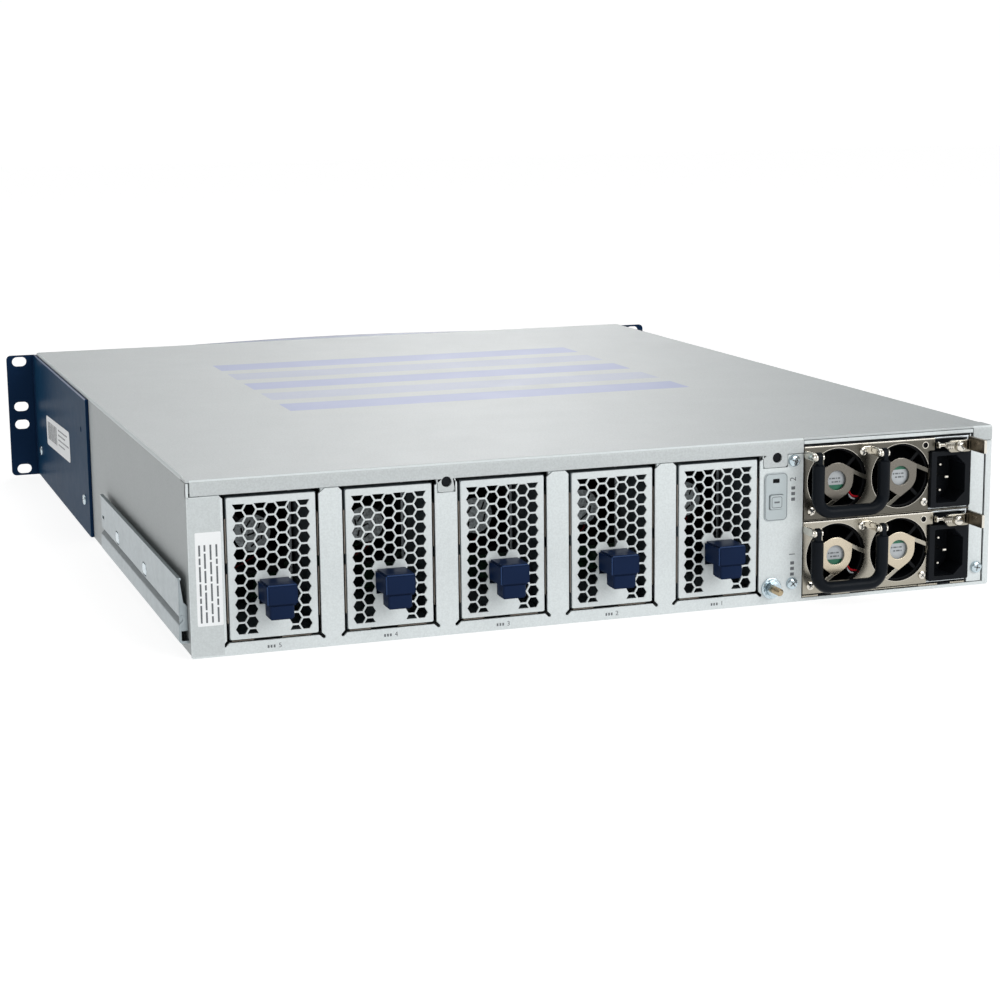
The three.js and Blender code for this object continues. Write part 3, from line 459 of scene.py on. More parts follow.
    def text(self, body, size, at, centre, depth=0.06, turn=0.0):
        """A plain numeral standing a hair above a surface that faces +Y."""
        curve = bpy.data.curves.new("numeral", "FONT")
        curve.body = body
        curve.size = size
        curve.align_x = curve.align_y = "CENTER"
        curve.extrude = depth / 2
        part = drawn(curve)
        upright = Matrix.Rotation(pi, 4, "Z") @ Matrix.Rotation(pi / 2, 4, "X")
        place = Matrix.Translation((centre[0], at, centre[1]))
        return self.take(part, place @ upright @ Matrix.Rotation(turn, 4, "Z"))

    def place(self, name, body, replaces=(), slot=None):
        """Makes the object, in metres, riding on a body, and hides the CAD parts it replaces."""
        self.mesh.transform(Matrix.Scale(MM, 4))
        data = bpy.data.meshes.new(name)
        self.mesh.to_mesh(data)
        self.mesh.free()
        data.set_sharp_from_angle(angle=radians(34))
        for material in self.materials:
            data.materials.append(material)
        piece = bpy.data.objects.new(name, data)
        bpy.context.scene.collection.objects.link(piece)
        even = piece.modifiers.new("even_shading", "WEIGHTED_NORMAL")
        even.keep_sharp = True
        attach(piece, body)
        if replaces:
            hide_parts(*replaces)


def screw(shape, axis, centre, face, radius, height, out=1, slots=2, turn=0.35):
    """A pan head with a cross or a slot pressed into it, standing on a face."""
    at = lambda h: face + out * h
    profile = [(0, at(0)), (radius, at(0)), (radius, at(height * 0.35)), (radius * 0.93, at(height * 0.68)),
               (radius * 0.72, at(height * 0.93)), (radius * 0.45, at(height)), (0, at(height))]
    shape.lathe(axis, centre, profile, 28)
    kept = shape.index
    shape.use(SLOT_SHADOW)
    for i in range(slots):
        angle = turn + i * pi / 2
        long, wide = radius * 0.58, radius * 0.11
        points = [(long, -wide), (long, wide), (-long, wide), (-long, -wide)]
        c, s = cos(angle), sin(angle)
        bar = [(centre[0] + a * c - b * s, centre[1] + a * s + b * c) for a, b in points]
        low, high = sorted((at(height * 0.72), at(height + 0.03)))
        shape.prism(bar, axis, low, high, edge=0)
    shape.index = kept


# ---------------------------------------------------------------- chassis


def bent_channel(half, height, radius, sheet):
    """The outline of a floor with two walls and rounded lower corners."""
    outer = arc(half - radius, radius, radius, 0, -90, 6)
    outer += arc(-half + radius, radius, radius, -90, -180, 6)
    inner_r = max(radius - sheet, 0.2)
    inner = arc(-half + radius, radius, inner_r, 180, 270, 6)
    inner += arc(half - radius, radius, inner_r, 270, 360, 6)
    return ([(half, height)] + outer + [(-half, height), (-half + sheet, height)]
            + inner + [(half - sheet, height)])


def rear_outline():
    """The rear wall up to the cover's lip: five openings, two tab seats and the supply bay."""
    top = LIP_LOW - GAP
    low, half = OPENING["low"], OPENING["half"]
    path = [(-HALF, 0.8), (-HALF + 0.8, 0), (HALF - 0.8, 0), (HALF, 0.8), (HALF, top)]
    steps = [(FAN_X[n] - half, FAN_X[n] + half, "fan") for n in FANS]
    steps += [(x0 - GAP, x1 + GAP, "tab") for x0, x1, _ in TABS]
    for x0, x1, kind in sorted(steps, reverse=True):
        if kind == "tab":
            path += [(x1, top), (x1, TAB_LOW - GAP), (x0, TAB_LOW - GAP), (x0, top)]
            continue
        path += [(x1 + 1.7, top), (x1, top - 1.7)]
        path += [(x1, low + 1.2), (x1 + 1.9, low - 0.7), (x1 + 1.7, low - 1.7), (x1 + 0.7, low - 1.9),
                 (x1 - 1.2, low)]
        path += [(x0 + 1.2, low), (x0 - 0.7, low - 1.9), (x0 - 1.7, low - 1.7), (x0 - 1.9, low - 0.7),
                 (x0, low + 1.2)]
        path += [(x0, top - 2.5), (x0 - 3.2, top)]
    path += [(BAY["left"], top), (BAY["left"], BAY["low"]), (BAY["right"], BAY["low"]), (BAY["right"], top),
             (-HALF, top)]
    return path


def chassis_shell():
    # The floor and side walls take the darker coat, which paints the sides' shade.
    shape = Shape(SIDE_COAT_IN_PAINTED_SHADE)
    shape.prism(bent_channel(HALF, WALL_TOP, 2.2, SHEET), "y", FRONT, REAR - SHEET + 0.05, edge=0.2)
    shape.use(PAINT)
    uid = middle("uid_button")
    button_hole = rect(uid.x - 4.2, uid.x + 4.2, uid.z - 4.2, uid.z + 4.2)
    shape.plate([rear_outline(), button_hole], "y", REAR - SHEET, REAR, edge=0.22)
    # The rear wall's outer end, beyond the last fan opening, in the darker coat: painted shade.
    shape.use(REAR_END_SHADE_COAT).box(FAN_X[5] + OPENING["half"] + 1.2, HALF - 0.4, REAR - 0.5, REAR + 0.05, 0.9,
                               LIP_LOW - 0.8, 0.05)
    shape.use(PAINT)
    # The strip over the supply bay, and the walls' bare edges beside the lip.
    shape.box(END_LIP + GAP, BAY["left"] - GAP, REAR - 3, REAR, BAY["high"], WALL_TOP, 0.3)
    shape.box(HALF - SHEET, HALF, REAR - SHEET - 2, REAR, LIP_LOW - 1, WALL_TOP, 0.2)
    # The header behind the lip, and a doubler behind each pillar.
    shape.box(BAY["left"] + 1.6, HALF - SHEET, REAR - 3.6, REAR - 2.4, LIP_LOW + 1.2, WALL_TOP - GAP)
    for x in [FAN_X[n] + FAN_PITCH / 2 for n in FANS] + [FAN_X[1] - FAN_PITCH / 2]:
        shape.box(x - 4.6, x + 4.6, REAR - 3.6, REAR - SHEET - 0.02, 66, WALL_TOP - GAP)
    shape.box(-HALF + SHEET, HALF - SHEET, FRONT, FRONT + SHEET, 0.3, 5)
    shape.place("chassis_shell", "chassis", ["chassis_base"], "chassis_steel")


def gaskets():
    """Spring-finger strips that line each fan opening behind its edge."""
    shape = Shape(TIN)
    half, low = OPENING["half"], OPENING["low"]
    y0, y1 = REAR - 9, REAR - SHEET - 0.4
    for n in FANS:
        for side in (-1, 1):
            x = FAN_X[n] + side * (half - (1.0 if side > 0 else 0.45))
            face = y1 + (0.9 if side > 0 else 0)
            for z0, z1 in ((16, 40.6), (46, 68)):
                shape.box(x - 0.27, x + 0.27, y0, face, z0, z1, 0.12)
        for x0, x1 in ((-19, -4), (10, 21)):
            shape.box(FAN_X[n] + x0, FAN_X[n] + x1, y0, y1, low + 0.15, low + 0.7, 0.15)
    shape.place("fan_opening_gaskets", "chassis", (), "chassis_steel")


def lip_section(lowest):
    """The lid's bend over the rear edge and down to a height, as (y, z) points."""
    y, z, start = REAR - LIP_RADIUS, HEIGHT - LIP_RADIUS, REAR - 12
    outer, inner = arc(y, z, LIP_RADIUS, 90, 0, 8), arc(y, z, LIP_RADIUS - SHEET, 0, 90, 8)
    face = [(REAR, lowest + 0.25), (REAR - 0.25, lowest), (REAR - SHEET, lowest)]
    return [(start, HEIGHT)] + outer + face + inner + [(start, HEIGHT - SHEET)]


def bend_skin(a, b, radius, start, end, proud):
    """A thin skin that covers part of a bend and stands a hair proud of it, to carry a painted highlight.
    """
    return arc(a, b, radius + proud, start, end, 8) + arc(a, b, radius - 0.3, end, start, 8)


def cover():
    """The lid: a sheet bent over the rear edge into a lip, with two screw tabs."""
    shape = Shape(COVER_PAINT)
    left = HALF - 1.9
    # The lip stops higher where a tab takes over from it.
    stops = [BAY["left"]] + [x for tab in reversed(TABS) for x in tab[:2]] + [left]
    for i, (x0, x1) in enumerate(zip(stops, stops[1:])):
        shape.prism(lip_section(LIP_LOW if i % 2 == 0 else TAB_JOIN), "x", x0, x1, edge=0)
    shape.prism(lip_section(LIP_LOW), "x", -HALF, END_LIP, edge=0)
    x, z = HALF - SIDE_RADIUS, HEIGHT - SIDE_RADIUS
    hemmed = arc(x, z, SIDE_RADIUS, 0, 90, 6) + arc(-x, z, SIDE_RADIUS, 90, 180, 6)
    hemmed += [(-HALF, HEIGHT - SHEET - 0.1), (HALF, HEIGHT - SHEET - 0.1)]
    shape.prism(hemmed, "y", FRONT, REAR - 11.95, edge=0.12)
    # Lighter skins over the side bends and over the lip's bend: painted highlights.
    shape.use(EDGE_HIGHLIGHT)
    for middle_x, start in ((x, 8), (-x, 98)):
        strip = bend_skin(middle_x, z, SIDE_RADIUS, start, start + 74, 0.04)
        shape.prism(strip, "y", FRONT + 1, REAR - 12.2, edge=0)
    strip = bend_skin(REAR - LIP_RADIUS, HEIGHT - LIP_RADIUS, LIP_RADIUS, 32, 66, 0.03)
    for x0, x1 in ((BAY["left"], left), (-HALF + 0.3, END_LIP)):
        shape.prism(strip, "x", x0, x1, edge=0)
    # The sheet's rear margin where there is no lip, and the inner side flanges.
    shape.use(COVER_PAINT)
    for x0, x1 in ((left - 0.02, HALF), (END_LIP + 0.02, BAY["left"] - 0.02)):
        shape.box(x0, x1, REAR - 12, REAR - 0.3, HEIGHT - SHEET, HEIGHT, 0.2)
    for side in (-1, 1):
        inner, outer = side * (HALF - 2 * SHEET - GAP), side * (HALF - SHEET - GAP)
        shape.box(inner, outer, FRONT + 6, REAR - 13, 77, HEIGHT - 0.5)
    notch, corner, join = Shape(BLACK), 1.6, TAB_JOIN + 0.25
    for x0, x1, x in TABS:
        tab = arc(x0 + corner, TAB_LOW + corner, corner, 180, 270, 4)
        tab += arc(x1 - corner, TAB_LOW + corner, corner, 270, 360, 4) + [(x1, join), (x0, join)]
        shape.plate([tab, circle(x, TAB_SCREW_Z, 2.7, 28)], "y", REAR - SHEET, REAR, edge=0)
        notch.rod("y", (x, TAB_SCREW_Z), 2.68, REAR - 2.3, REAR - SHEET + 0.15, 28)
    shape.place("cover_sheet", "chassis", ["top_cover"], "chassis_steel")
    notch.place("cover_nut_shadows", "chassis", (), "black_plastic")


def rear_screws():
    shape = Shape(ZINC)
    for x, z, turn in ((-101.7, 76.4, 0.3), (-101.4, 10.4, 0.9), (-212.7, 10.1, 0.2)):
        screw(shape, "y", (x, z), REAR, 3.2, 2.0, turn=turn)
    shape.place("rear_screws", "chassis", (), "zinc")


def ground_stud():
    """A threaded stud with a plain washer, a toothed washer and a nut."""
    low, high = corners("ground_stud")
    x, z = (low.x + high.x) / 2, (low.z + high.z) / 2
    shape = Shape(ZINC)
    shape.lathe("y", (x, z), [(0, REAR), (5.6, REAR), (5.6, REAR + 0.9), (5.2, REAR + 1.1),
                              (0, REAR + 1.1)], 40)
    teeth = [(x + (4.7 if i % 2 else 4.1) * cos(i * pi / 12),
              z + (4.7 if i % 2 else 4.1) * sin(i * pi / 12))
             for i in range(24)]
    shape.prism(teeth, "y", REAR + 1.1, REAR + 1.9, edge=0.1)
    nut = circle(x, z, 4.05, 6)
    shape.prism(nut, "y", REAR + 1.9, REAR + 4.6, edge=0.35)
    profile = [(0, REAR + 4), (2.0, REAR + 4)]
    pitch, turns = 0.75, 9
    for i in range(turns):
        at = REAR + 4.4 + i * pitch
        profile += [(1.62, at), (2.0, at + pitch * 0.45), (2.0, at + pitch * 0.55)]
    end = REAR + 4.4 + turns * pitch
    profile += [(1.5, end), (1.2, end + 0.5), (0, end + 0.5)]
    shape.use(BRASS).lathe("y", (x, z), profile, 28)
    shape.place("earth_stud", "chassis", ["ground_stud"], "zinc")


def keypad():
    """The narrow overlay with a lamp window, and the square button through it."""
    low, high = corners("uid_panel")
    cx = (low.x + high.x) / 2
    button = middle("uid_button")
    shape = Shape(KEYPAD)
    hole = rounded(button.x - 4, button.x + 4, button.z - 4, button.z + 4, 0.8, 3)
    window = rounded(cx - 1.9, cx + 1.9, 65.2, 67.4, 0.4, 3)
    shape.plate([rounded(low.x, high.x, low.z, high.z, 2.6), hole, window], "y", REAR, high.y, edge=0.2)
    shape.use(SOFT_INK)
    edges = [rounded(low.x + i, high.x - i, low.z + i, high.z - i, 2.6 - i) for i in (0.35, 0.6)]
    shape.plate(edges, "y", high.y - 0.02, high.y + 0.04, edge=0.01)
    shape.use(LAMP).box(cx - 1.8, cx + 1.8, REAR + 0.02, REAR + 0.5, 65.3, 67.3, 0.1)
    shape.place("keypad_overlay", "chassis", ["uid_panel"], "grey_overlay")
    cap = Shape(KEYPAD)
    face = rounded(button.x - 3.8, button.x + 3.8, button.z - 3.8, button.z + 3.8, 1.0, 4)
    top = corners("uid_button")[1].y
    cap.plate([face], "y", REAR - 3, top, edge=0.35)
    cap.box(button.x - 5, button.x + 5, REAR - 6, REAR - 3, button.z - 5, button.z + 5)
    cap.use(SOFT_INK)
    ring = [rounded(button.x - r, button.x + r, button.z - r, button.z + r, r - 2.0, 3) for r in (3.0, 2.7)]
    cap.plate(ring, "y", top - 0.02, top + 0.05, edge=0.01)
    cap.box(button.x - 1.5, button.x + 1.5, top - 0.02, top + 0.05, button.z - 0.45, button.z + 0.45, 0.01)
    cap.place("keypad_button", "uid_button", ["uid_button"], "grey_overlay")


def markings():
    """Plain numerals by each module, and a side label of generic bars."""
    shape = Shape(SOFT_INK)
    for n in FANS:
        shape.text(str(n), 3.4, REAR, (FAN_X[n] - 2.6, 3.0))
        for i in range(3):
            x = FAN_X[n] + 0.3 + i * 1.5
            shape.box(x - 0.45, x + 0.45, REAR, REAR + 0.04, 2.2, 3.6, 0.01)
    for n in SUPPLIES:
        z = SUPPLY_LOW[n] + 22.5
        shape.text(str(n), 5.0, REAR, (-101.5, z), turn=pi / 2)
        for i in range(3):
            shape.box(-102.6, -100.4, REAR, REAR + 0.04, z - 5.6 - i * 3.0, z - 3.9 - i * 3.0, 0.01)
    shape.place("module_numerals", "chassis")
    label = Shape(PAPER)
    x0, x1, z0, z1 = 204.2, 217, 15.9, 62.3
    label.plate([rounded(x0, x1, z0, z1, 0.6, 3)], "y", REAR, REAR + 0.12, edge=0.03)
    label.use(SOFT_INK)
    words = (7.5, 3.2, 5.4, 8.8, 2.6, 6.1)
    for row, x in enumerate((206.6, 209.5, 212.4, 215)):
        z = z0 + 1.6
        step = row
        while z + words[step % len(words)] < z1 - 1.2 - 3 * (row % 2):
            length = words[step % len(words)]
            label.box(x - 0.45, x + 0.45, REAR + 0.11, REAR + 0.16, z, z + length, 0.01)
            z += length + 1.0
            step += 1
    label.place("rear_side_label", "chassis")


def ear_bend(side, outside, front, r, thick):
    """The bracket's corner, from its web on the wall to its flange, as (x, y) points."""
    x, y = outside + side * (r - thick), front + r

    def turned(radius, angles):
        return [(x - side * radius * cos(radians(t)), y - radius * sin(radians(t))) for t in angles]

    outer, inner = turned(r, range(0, 91, 10)), turned(r - thick, range(90, -1, -10))
    flange = [(x + side * 0.7, front), (x + side * 0.7, front + thick)]
    return [(outer[0][0], y + 0.5)] + outer + flange + inner + [(inner[-1][0], y + 0.5)]


def rack_ear(side, name):
    """A bracket bent round the front corner, with four slots and its screws."""
    low, high = corners(name)
    thick, r = 2.0, 2.6
    front, back, z0, z1 = low.y, high.y, low.z, high.z
    wall = side * HALF
    outside = wall + side * thick
    # The web lies on the wall; its face plate is a lighter navy that paints stronger light, and a lighter
    # blue strip on the top edge is a painted highlight.
    shape = Shape(NAVY)
    hole = circle(*EAR_HOLE, 1.7, 20)
    web = rounded(front + r, back, z0, z1, 1.6, 4)
    shape.plate([web, hole], "x", wall + side * 0.02, outside - side * 0.3, edge=0.35)
    face = rounded(front + r, back - 0.25, z0 + 0.25, z1 - 0.25, 1.4, 4)
    shape.use(WEB_NAVY).plate([face, hole], "x", outside - side * 0.9, outside, edge=0.2)
    # The flange stands out from the web at the front and carries the rack slots.
    shape.use(NAVY)
    slots = []
    for up in (-38.1, -6.35, 6.35, 38.1):
        x, z = side * 232.55, HEIGHT / 2 + up
        slots.append(arc(x + 1.7, z, 3.3, -90, 90, 10) + arc(x - 1.7, z, 3.3, 90, 270, 10))
    inner_x = outside + side * (r - thick + 0.5)
    wide = abs(side * max(abs(low.x), abs(high.x)) - inner_x)
    flange = [(0, z0)] + arc(wide - 3, z0 + 3, 3, -90, 0, 6)
    flange += arc(wide - 3, z1 - 3, 3, 0, 90, 6) + [(0, z1)]
    flange = [(inner_x + side * across, z) for across, z in flange]
    shape.plate([flange] + slots, "y", front, front + thick, edge=0.35)
    near, far = outside - side * 0.6, outside + side * 0.05
    # A lighter blue strip along the web's top edge: a painted highlight.
    shape.use(BEZEL_BLUE).box(near, far, front + r, back - 1.4, z1 - 0.8, z1 + 0.03, 0.2)
    shape.use(NAVY).prism(ear_bend(side, outside, front, r, thick), "z", z0, z1, edge=0.3)
    shape.place(f"{name}_bracket", "chassis", [name], "navy_paint")
    heads = Shape(ZINC)
    for y, z in ((-249.6, 21.6), (-50.9, 22.0)):
        screw(heads, "x", (y, z), outside, 3.3, 1.2, out=side)
    # A black plug behind the web's hole paints the shade inside it.
    heads.use(BLACK).rod("x", EAR_HOLE, 1.8, *sorted((wall + side * 0.05, wall + side * 0.5)), 20)
    heads.place(f"{name}_screws", "chassis", (), "zinc")


def ear_label():
    """The white label on the left bracket, stuck on a little askew, with bars for writing."""
    shape = Shape(PAPER)
    face = corners("rack_ear_left")[0].x + 2.0
    y0, y1, z0, z1 = -215, -107, 33.5, 53.5
    shape.plate([rounded(y0, y1, z0, z1, 3.0, 6)], "x", face, face + 0.12, edge=0.03)
    shape.use(SOFT_INK)
    for row, (a, b) in enumerate(((-158, -118), (-158, -126), (-158, -112), (-158, -130))):
        z = 49.2 - row * 3.2
        y = a
        while y < b:
            shape.box(face + 0.11, face + 0.16, y, min(y + 4.5 - row * 0.6, b), z - 0.5, z + 0.5, 0.01)
            y += 6.0 - row * 0.6
    y = -208.0
    bar = 0
    while y < -166:
        width = (0.8, 1.6, 0.6, 2.2, 1.1)[bar % 5]
        shape.box(face + 0.11, face + 0.16, y, y + width, 38, 50, 0.01)
        y += width + (1.2, 0.8, 1.7)[bar % 3]
        bar += 1
    centre = Vector((0, (y0 + y1) / 2, (z0 + z1) / 2))
    tilt = Matrix.Rotation(radians(2.1), 4, "X")
    shape.mesh.transform(Matrix.Translation(centre) @ tilt @ Matrix.Translation(-centre))
    shape.place("ear_side_label", "chassis")


def inner_rail(side, name):
    """A rolled rail on the side wall: web, bead, lower groove and keyholes."""
    low, high = corners(name)
    wall = side * HALF
    at = lambda out: wall + side * out
    y0, y1 = low.y, high.y - (4 if side < 0 else 0)
    shape = Shape(RAIL_STEEL)
    lower = [(0.05, 7.0), (3.6, 7.0), (4.5, 7.5), (4.8, 8.4), (4.8, 15.6), (4.5, 16.6), (2.9, 18.2),
             (2.6, 19.0), (2.9, 19.6), (3.6, 20.2), (3.6, 20.8), (2.4, 20.8), (1.6, 19.9), (1.4, 19.0),
             (1.7, 17.4), (3.4, 15.8), (3.6, 15.0), (3.6, 8.6), (3.2, 8.2), (0.05, 8.2)]
    shape.prism([(at(out), z) for out, z in lower], "y", y0, y1, edge=0.12)
    keyhole = lambda y, r: arc(y + 2.4, 24.2, r, -90, 90, 12) + arc(y - 2.4, 24.2, r, 90, 270, 12)
    holes = [keyhole(y, 3.5) for y in KEYHOLES]
    holes.append(rounded(y0 + 3, y0 + 10, 26, 27.6, 0.6, 3))
    x0, x1 = sorted((at(3.1), at(4.2)))
    web = [(y0, 20.1), (y1 - 2, 20.1), (y1 - 2, 39.0), (y0, 39.0)]
    shape.plate([web] + holes, "x", x0, x1, edge=0.2)
    x0, x1 = sorted((at(2.6), at(4.7)))
    shape.box(x0, x1, y0, y1 - 1, 38.2, 39.5, 0.5)
    # The turned-in rear end, and a bright plug that fills each keyhole.
    turned = [(4.2, 13.0), (4.2, 39.0), (3.6, 39.0), (2.1, 27.2), (0.5, 25.8), (0.2, 24.8), (0.2, 13.0)]
    shape.prism([(at(out), z) for out, z in turned], "y", y1 - 1.7, y1 - 0.6, edge=0.25)
    shape.use(ZINC)
    for y in KEYHOLES:
        shape.plate([keyhole(y, 3.0)], "x", *sorted((at(3.3), at(4.3))), edge=0.35)
    shape.place(f"{name}_rolled", "chassis", [name], "chassis_steel")


def supply_cage():
    """The bay's liner: side walls, floor, the shelf between supplies in a darker nickel that paints shade,
    spring strips.
    """
    low = corners("psu_cage")[0]
    left, right = -107.0, -207.2
    shape = Shape(RAW_STEEL)
    inner = REAR - SHEET - GAP
    shape.box(left, left + 0.8, low.y, inner, 2.2, 83.9)
    shape.box(right - 0.8, right, low.y, REAR - 0.6, 2.2, 83.9)
    shape.box(right - 0.8, left + 0.8, low.y, REAR - 6, 2.2, 3.0)
    shelf = SUPPLY_LOW[1] + 39.2 + GAP
    # The shelf takes the nickel darkened for shade: painted shade between the supplies.
    shape.use(NICKEL_DIM).box(right - 0.8, left + 0.8, low.y, REAR - 0.4, shelf, shelf + 0.6, 0.2)
    shape.use(PAINT)
    x0, x1 = BAY["right"] + 1.1, right
    shape.plate([rect(x0, x1, 2.2, LIP_LOW - GAP - 0.2)], "y", REAR - SHEET, REAR, edge=0.25)
    shape.use(NICKEL)
    for x0, x1 in ((-117.2, -107.7), (-136.2, -125.1), (-189.3, -177.4), (-206, -197.2)):
        shape.box(x0, x1, REAR - 3, REAR - 0.2, 2.0, 2.9, 0.15)
    shape.box(-177.2, -136.4, REAR - 3, REAR - 0.4, 2.45, 2.9, 0.1)
    shape.use(BLACK).box(-206, -107.7, REAR - 5, REAR - 3.2, 2.1, 3.5, 0.1)
    for x0, x1 in ((-125.1, -117.2), (-177.4, -136.2), (-197.2, -189.3)):
        shape.box(x0 + 0.1, x1 - 0.1, REAR - 3, REAR - 0.8, 1.9, 2.4 if x1 - x0 > 20 else 2.9, 0.1)
    shape.place("supply_cage_liner", "chassis", ["psu_cage"], "chassis_steel")


# ---------------------------------------------------------------- fan modules


def hexagon(a, b, flats, cut_low=-99.0, cut_high=99.0):
    """A hexagon with level top and bottom sides, cut off below and above if asked."""
    r = flats / sqrt(3)
    points = [(a + r * cos(radians(t)), b + r * sin(radians(t)))
              for t in range(0, 360, 60)]
    kept = []
    for (a0, b0), (a1, b1) in zip(points, points[1:] + points[:1]):
        if cut_low <= b0 <= cut_high:
            kept.append((a0, b0))
        for cut in (cut_low, cut_high):
            if (b0 - cut) * (b1 - cut) < 0:
                t = (cut - b0) / (b1 - b0)
                kept.append((a0 + (a1 - a0) * t, cut))
    return kept


GRILLE = {"pitch": 6.2, "flats": 5.3, "top": 74.8, "bottom": 10.15, "long": 10, "short": 5}


def grille(x):
    """The honeycomb of a fan module: long columns at the sides, short ones over the latch."""
    pitch, top, bottom = GRILLE["pitch"], GRILLE["top"], GRILLE["bottom"]
    step = pitch * cos(radians(30))
    holes = []
    for column in range(-3, 4):
        a = x + column * step
        full = GRILLE["long"] if abs(column) > 1 else GRILLE["short"]
        lead = column % 2 == 1
        if lead:
            holes.append(hexagon(a, top, GRILLE["flats"], cut_high=top))
            holes += [hexagon(a, top - pitch * k, GRILLE["flats"]) for k in range(1, full + 1)]
            continue
        count = full + (1 if column == 0 else 0)
        holes += [hexagon(a, top - pitch * (k + 0.5), GRILLE["flats"]) for k in range(count)]
        if column != 0:
            holes.append(hexagon(a, top - pitch * (count + 0.5), GRILLE["flats"], cut_low=bottom))
    return holes


def fan_tray(n):
    low, high = corners(f"fan_tray_{n}")
    x = FAN_X[n]
    half = (high.x - low.x) / 2
    shape = Shape(TRAY_COAT)
    latch_hole = rect(x - 7.2, x + 7.2, 24.6, 35.2)
    outlines = [rounded(x - half + 0.3, x + half - 0.3, low.z + 0.1, high.z - 0.1, 0.9, 3), latch_hole]
    outlines += grille(x)
    shape.plate(outlines, "y", REAR - 1, REAR, edge=0.18)
    deep, wall = low.y + 6, REAR - 50
    frame_rear = corners(f"fan_housing_{n}")[1].y
    shape.use(TRAY_INSIDE)
    for side in (-1, 1):
        a, b = sorted((x + side * (half - 1), x + side * half))
        shape.plate([rounded(wall, REAR - 0.9, low.z, high.z, 0.5, 2)], "x", a, b, edge=0.2)
    shape.box(x - half, x + half, deep, REAR - 0.9, low.z, low.z + 1)
    shape.box(x - half, x + half, REAR - 8, REAR - 0.9, high.z - 1, high.z)
    shape.use(RAW_STEEL)
    shape.box(x - half + 2.3, x - half + 3.6, frame_rear + 0.2, frame_rear + 1.2, low.z + 2, high.z - 3,
              0.2)
    shape.use(BLACK).box(x - 6.5, x + 6.5, low.y, deep + 6, 12.5, 19.5, 0.6)
    shape.box(x - 4, x + 4, deep, deep + 6, low.z + 0.5, 13)
    shape.place(f"fan_tray_{n}_sheet", f"fan_module_{n}", [f"fan_tray_{n}"], "chassis_steel")


def fan_frame(shape, x, z, width, bore, hub, y0, y1, plate, spokes=4):
    """A square fan frame with round corners, screw holes, a duct and a motor carrier."""
    half = width / 2
    inset = half * 0.84
    outer = rounded(x - half, x + half, z - half, z + half, half * 0.16, 4)
    holes = [circle(x + sx * inset, z + sz * inset, half * 0.085, 14) for sx in (-1, 1) for sz in (-1, 1)]
    for a, b in ((y0, y0 + 3.2), (y1 - 3.2, y1)):
        shape.plate([outer, circle(x, z, bore, 48)] + holes, "y", a, b, edge=0.2)
    shape.lathe("y", (x, z), [(bore, y0 + 3), (bore + 1.1, y0 + 3), (bore + 1.1, y1 - 3), (bore, y1 - 3),
                              (bore, y0 + 3)], 48)
    shape.rod("y", (x, z), hub, y1 - plate, y1 - 0.2, 40, 0.4)
    for i in range(spokes):
        turn = Matrix.Rotation(pi / 4 + i * 2 * pi / spokes, 4, "Y")
        shape.box(hub - 0.5, bore + 0.5, y1 - plate, y1 - 0.4, -0.9, 0.9, 0.3,
                  matrix=Matrix.Translation((x, 0, z)) @ turn)


def fan_housing(n):
    low, high = corners(f"fan_housing_{n}")
    x, z = FAN_X[n], (low.z + high.z) / 2
    shape = Shape(DEEP_BLACK)
    fan_frame(shape, x, z, high.x - low.x, 19.6, 9.9, low.y, high.y, 2.4)
    shape.use(MOTOR)
    y = high.y
    shape.rod("y", (x, z), 9.4, y - 0.3, y - 0.08, 40, 0.05)
    shape.use(DEEP_BLACK)
    for across, up, long, turn in ((-4, 4.5, 5, 70), (2.5, 4, 6, 55), (-5, -1.5, 4, 80),
                                   (0.5, -0.5, 4.5, 15), (5.2, 0.5, 5, 100), (-1.5, -5.2, 6, 40),
                                   (3.8, -4.5, 3.4, 75)):
        aim = Matrix.Translation((x + across, 0, z + up)) @ Matrix.Rotation(radians(turn), 4, "Y")
        shape.box(-long / 2, long / 2, y - 0.1, y - 0.03, -0.45, 0.45, 0.01, matrix=aim)
    shape.use(RED_SHADED)
    wire = [(x - 2, y - 1.2, z - 8.5), (x - 1, y - 0.6, z - 12), (x + 5, y - 0.4, z - 15.5),
            (x + 13, y - 0.4, z - 20),
            (x + 17, y - 2, z - 30), (x + 8, y - 20, z - 37), (x + 2, y - 34, z - 39)]
    shape.tube(smooth(wire), 0.5, 8)
    shape.use(DEEP_BLACK).tube(smooth([(px - 1.3, py, pz + 0.4) for px, py, pz in wire]), 0.55, 8)
    shape.place(f"fan_frame_{n}", f"fan_module_{n}", [f"fan_housing_{n}"], "black_plastic")


def smooth(points, steps=6):
    """A curve through points, by Catmull-Rom."""
    points = [Vector(p) for p in points]
    ends = [2 * points[0] - points[1]] + points + [2 * points[-1] - points[-2]]
    path = []
    for a, b, c, d in zip(ends, ends[1:], ends[2:], ends[3:]):
        for i in range(steps):
            t = i / steps
            square, cube = 2 * a - 5 * b + 4 * c - d, 3 * b - a - 3 * c + d
            path.append(0.5 * (2 * b + (c - a) * t + square * t * t + cube * t ** 3))
    return path + [points[-1]]


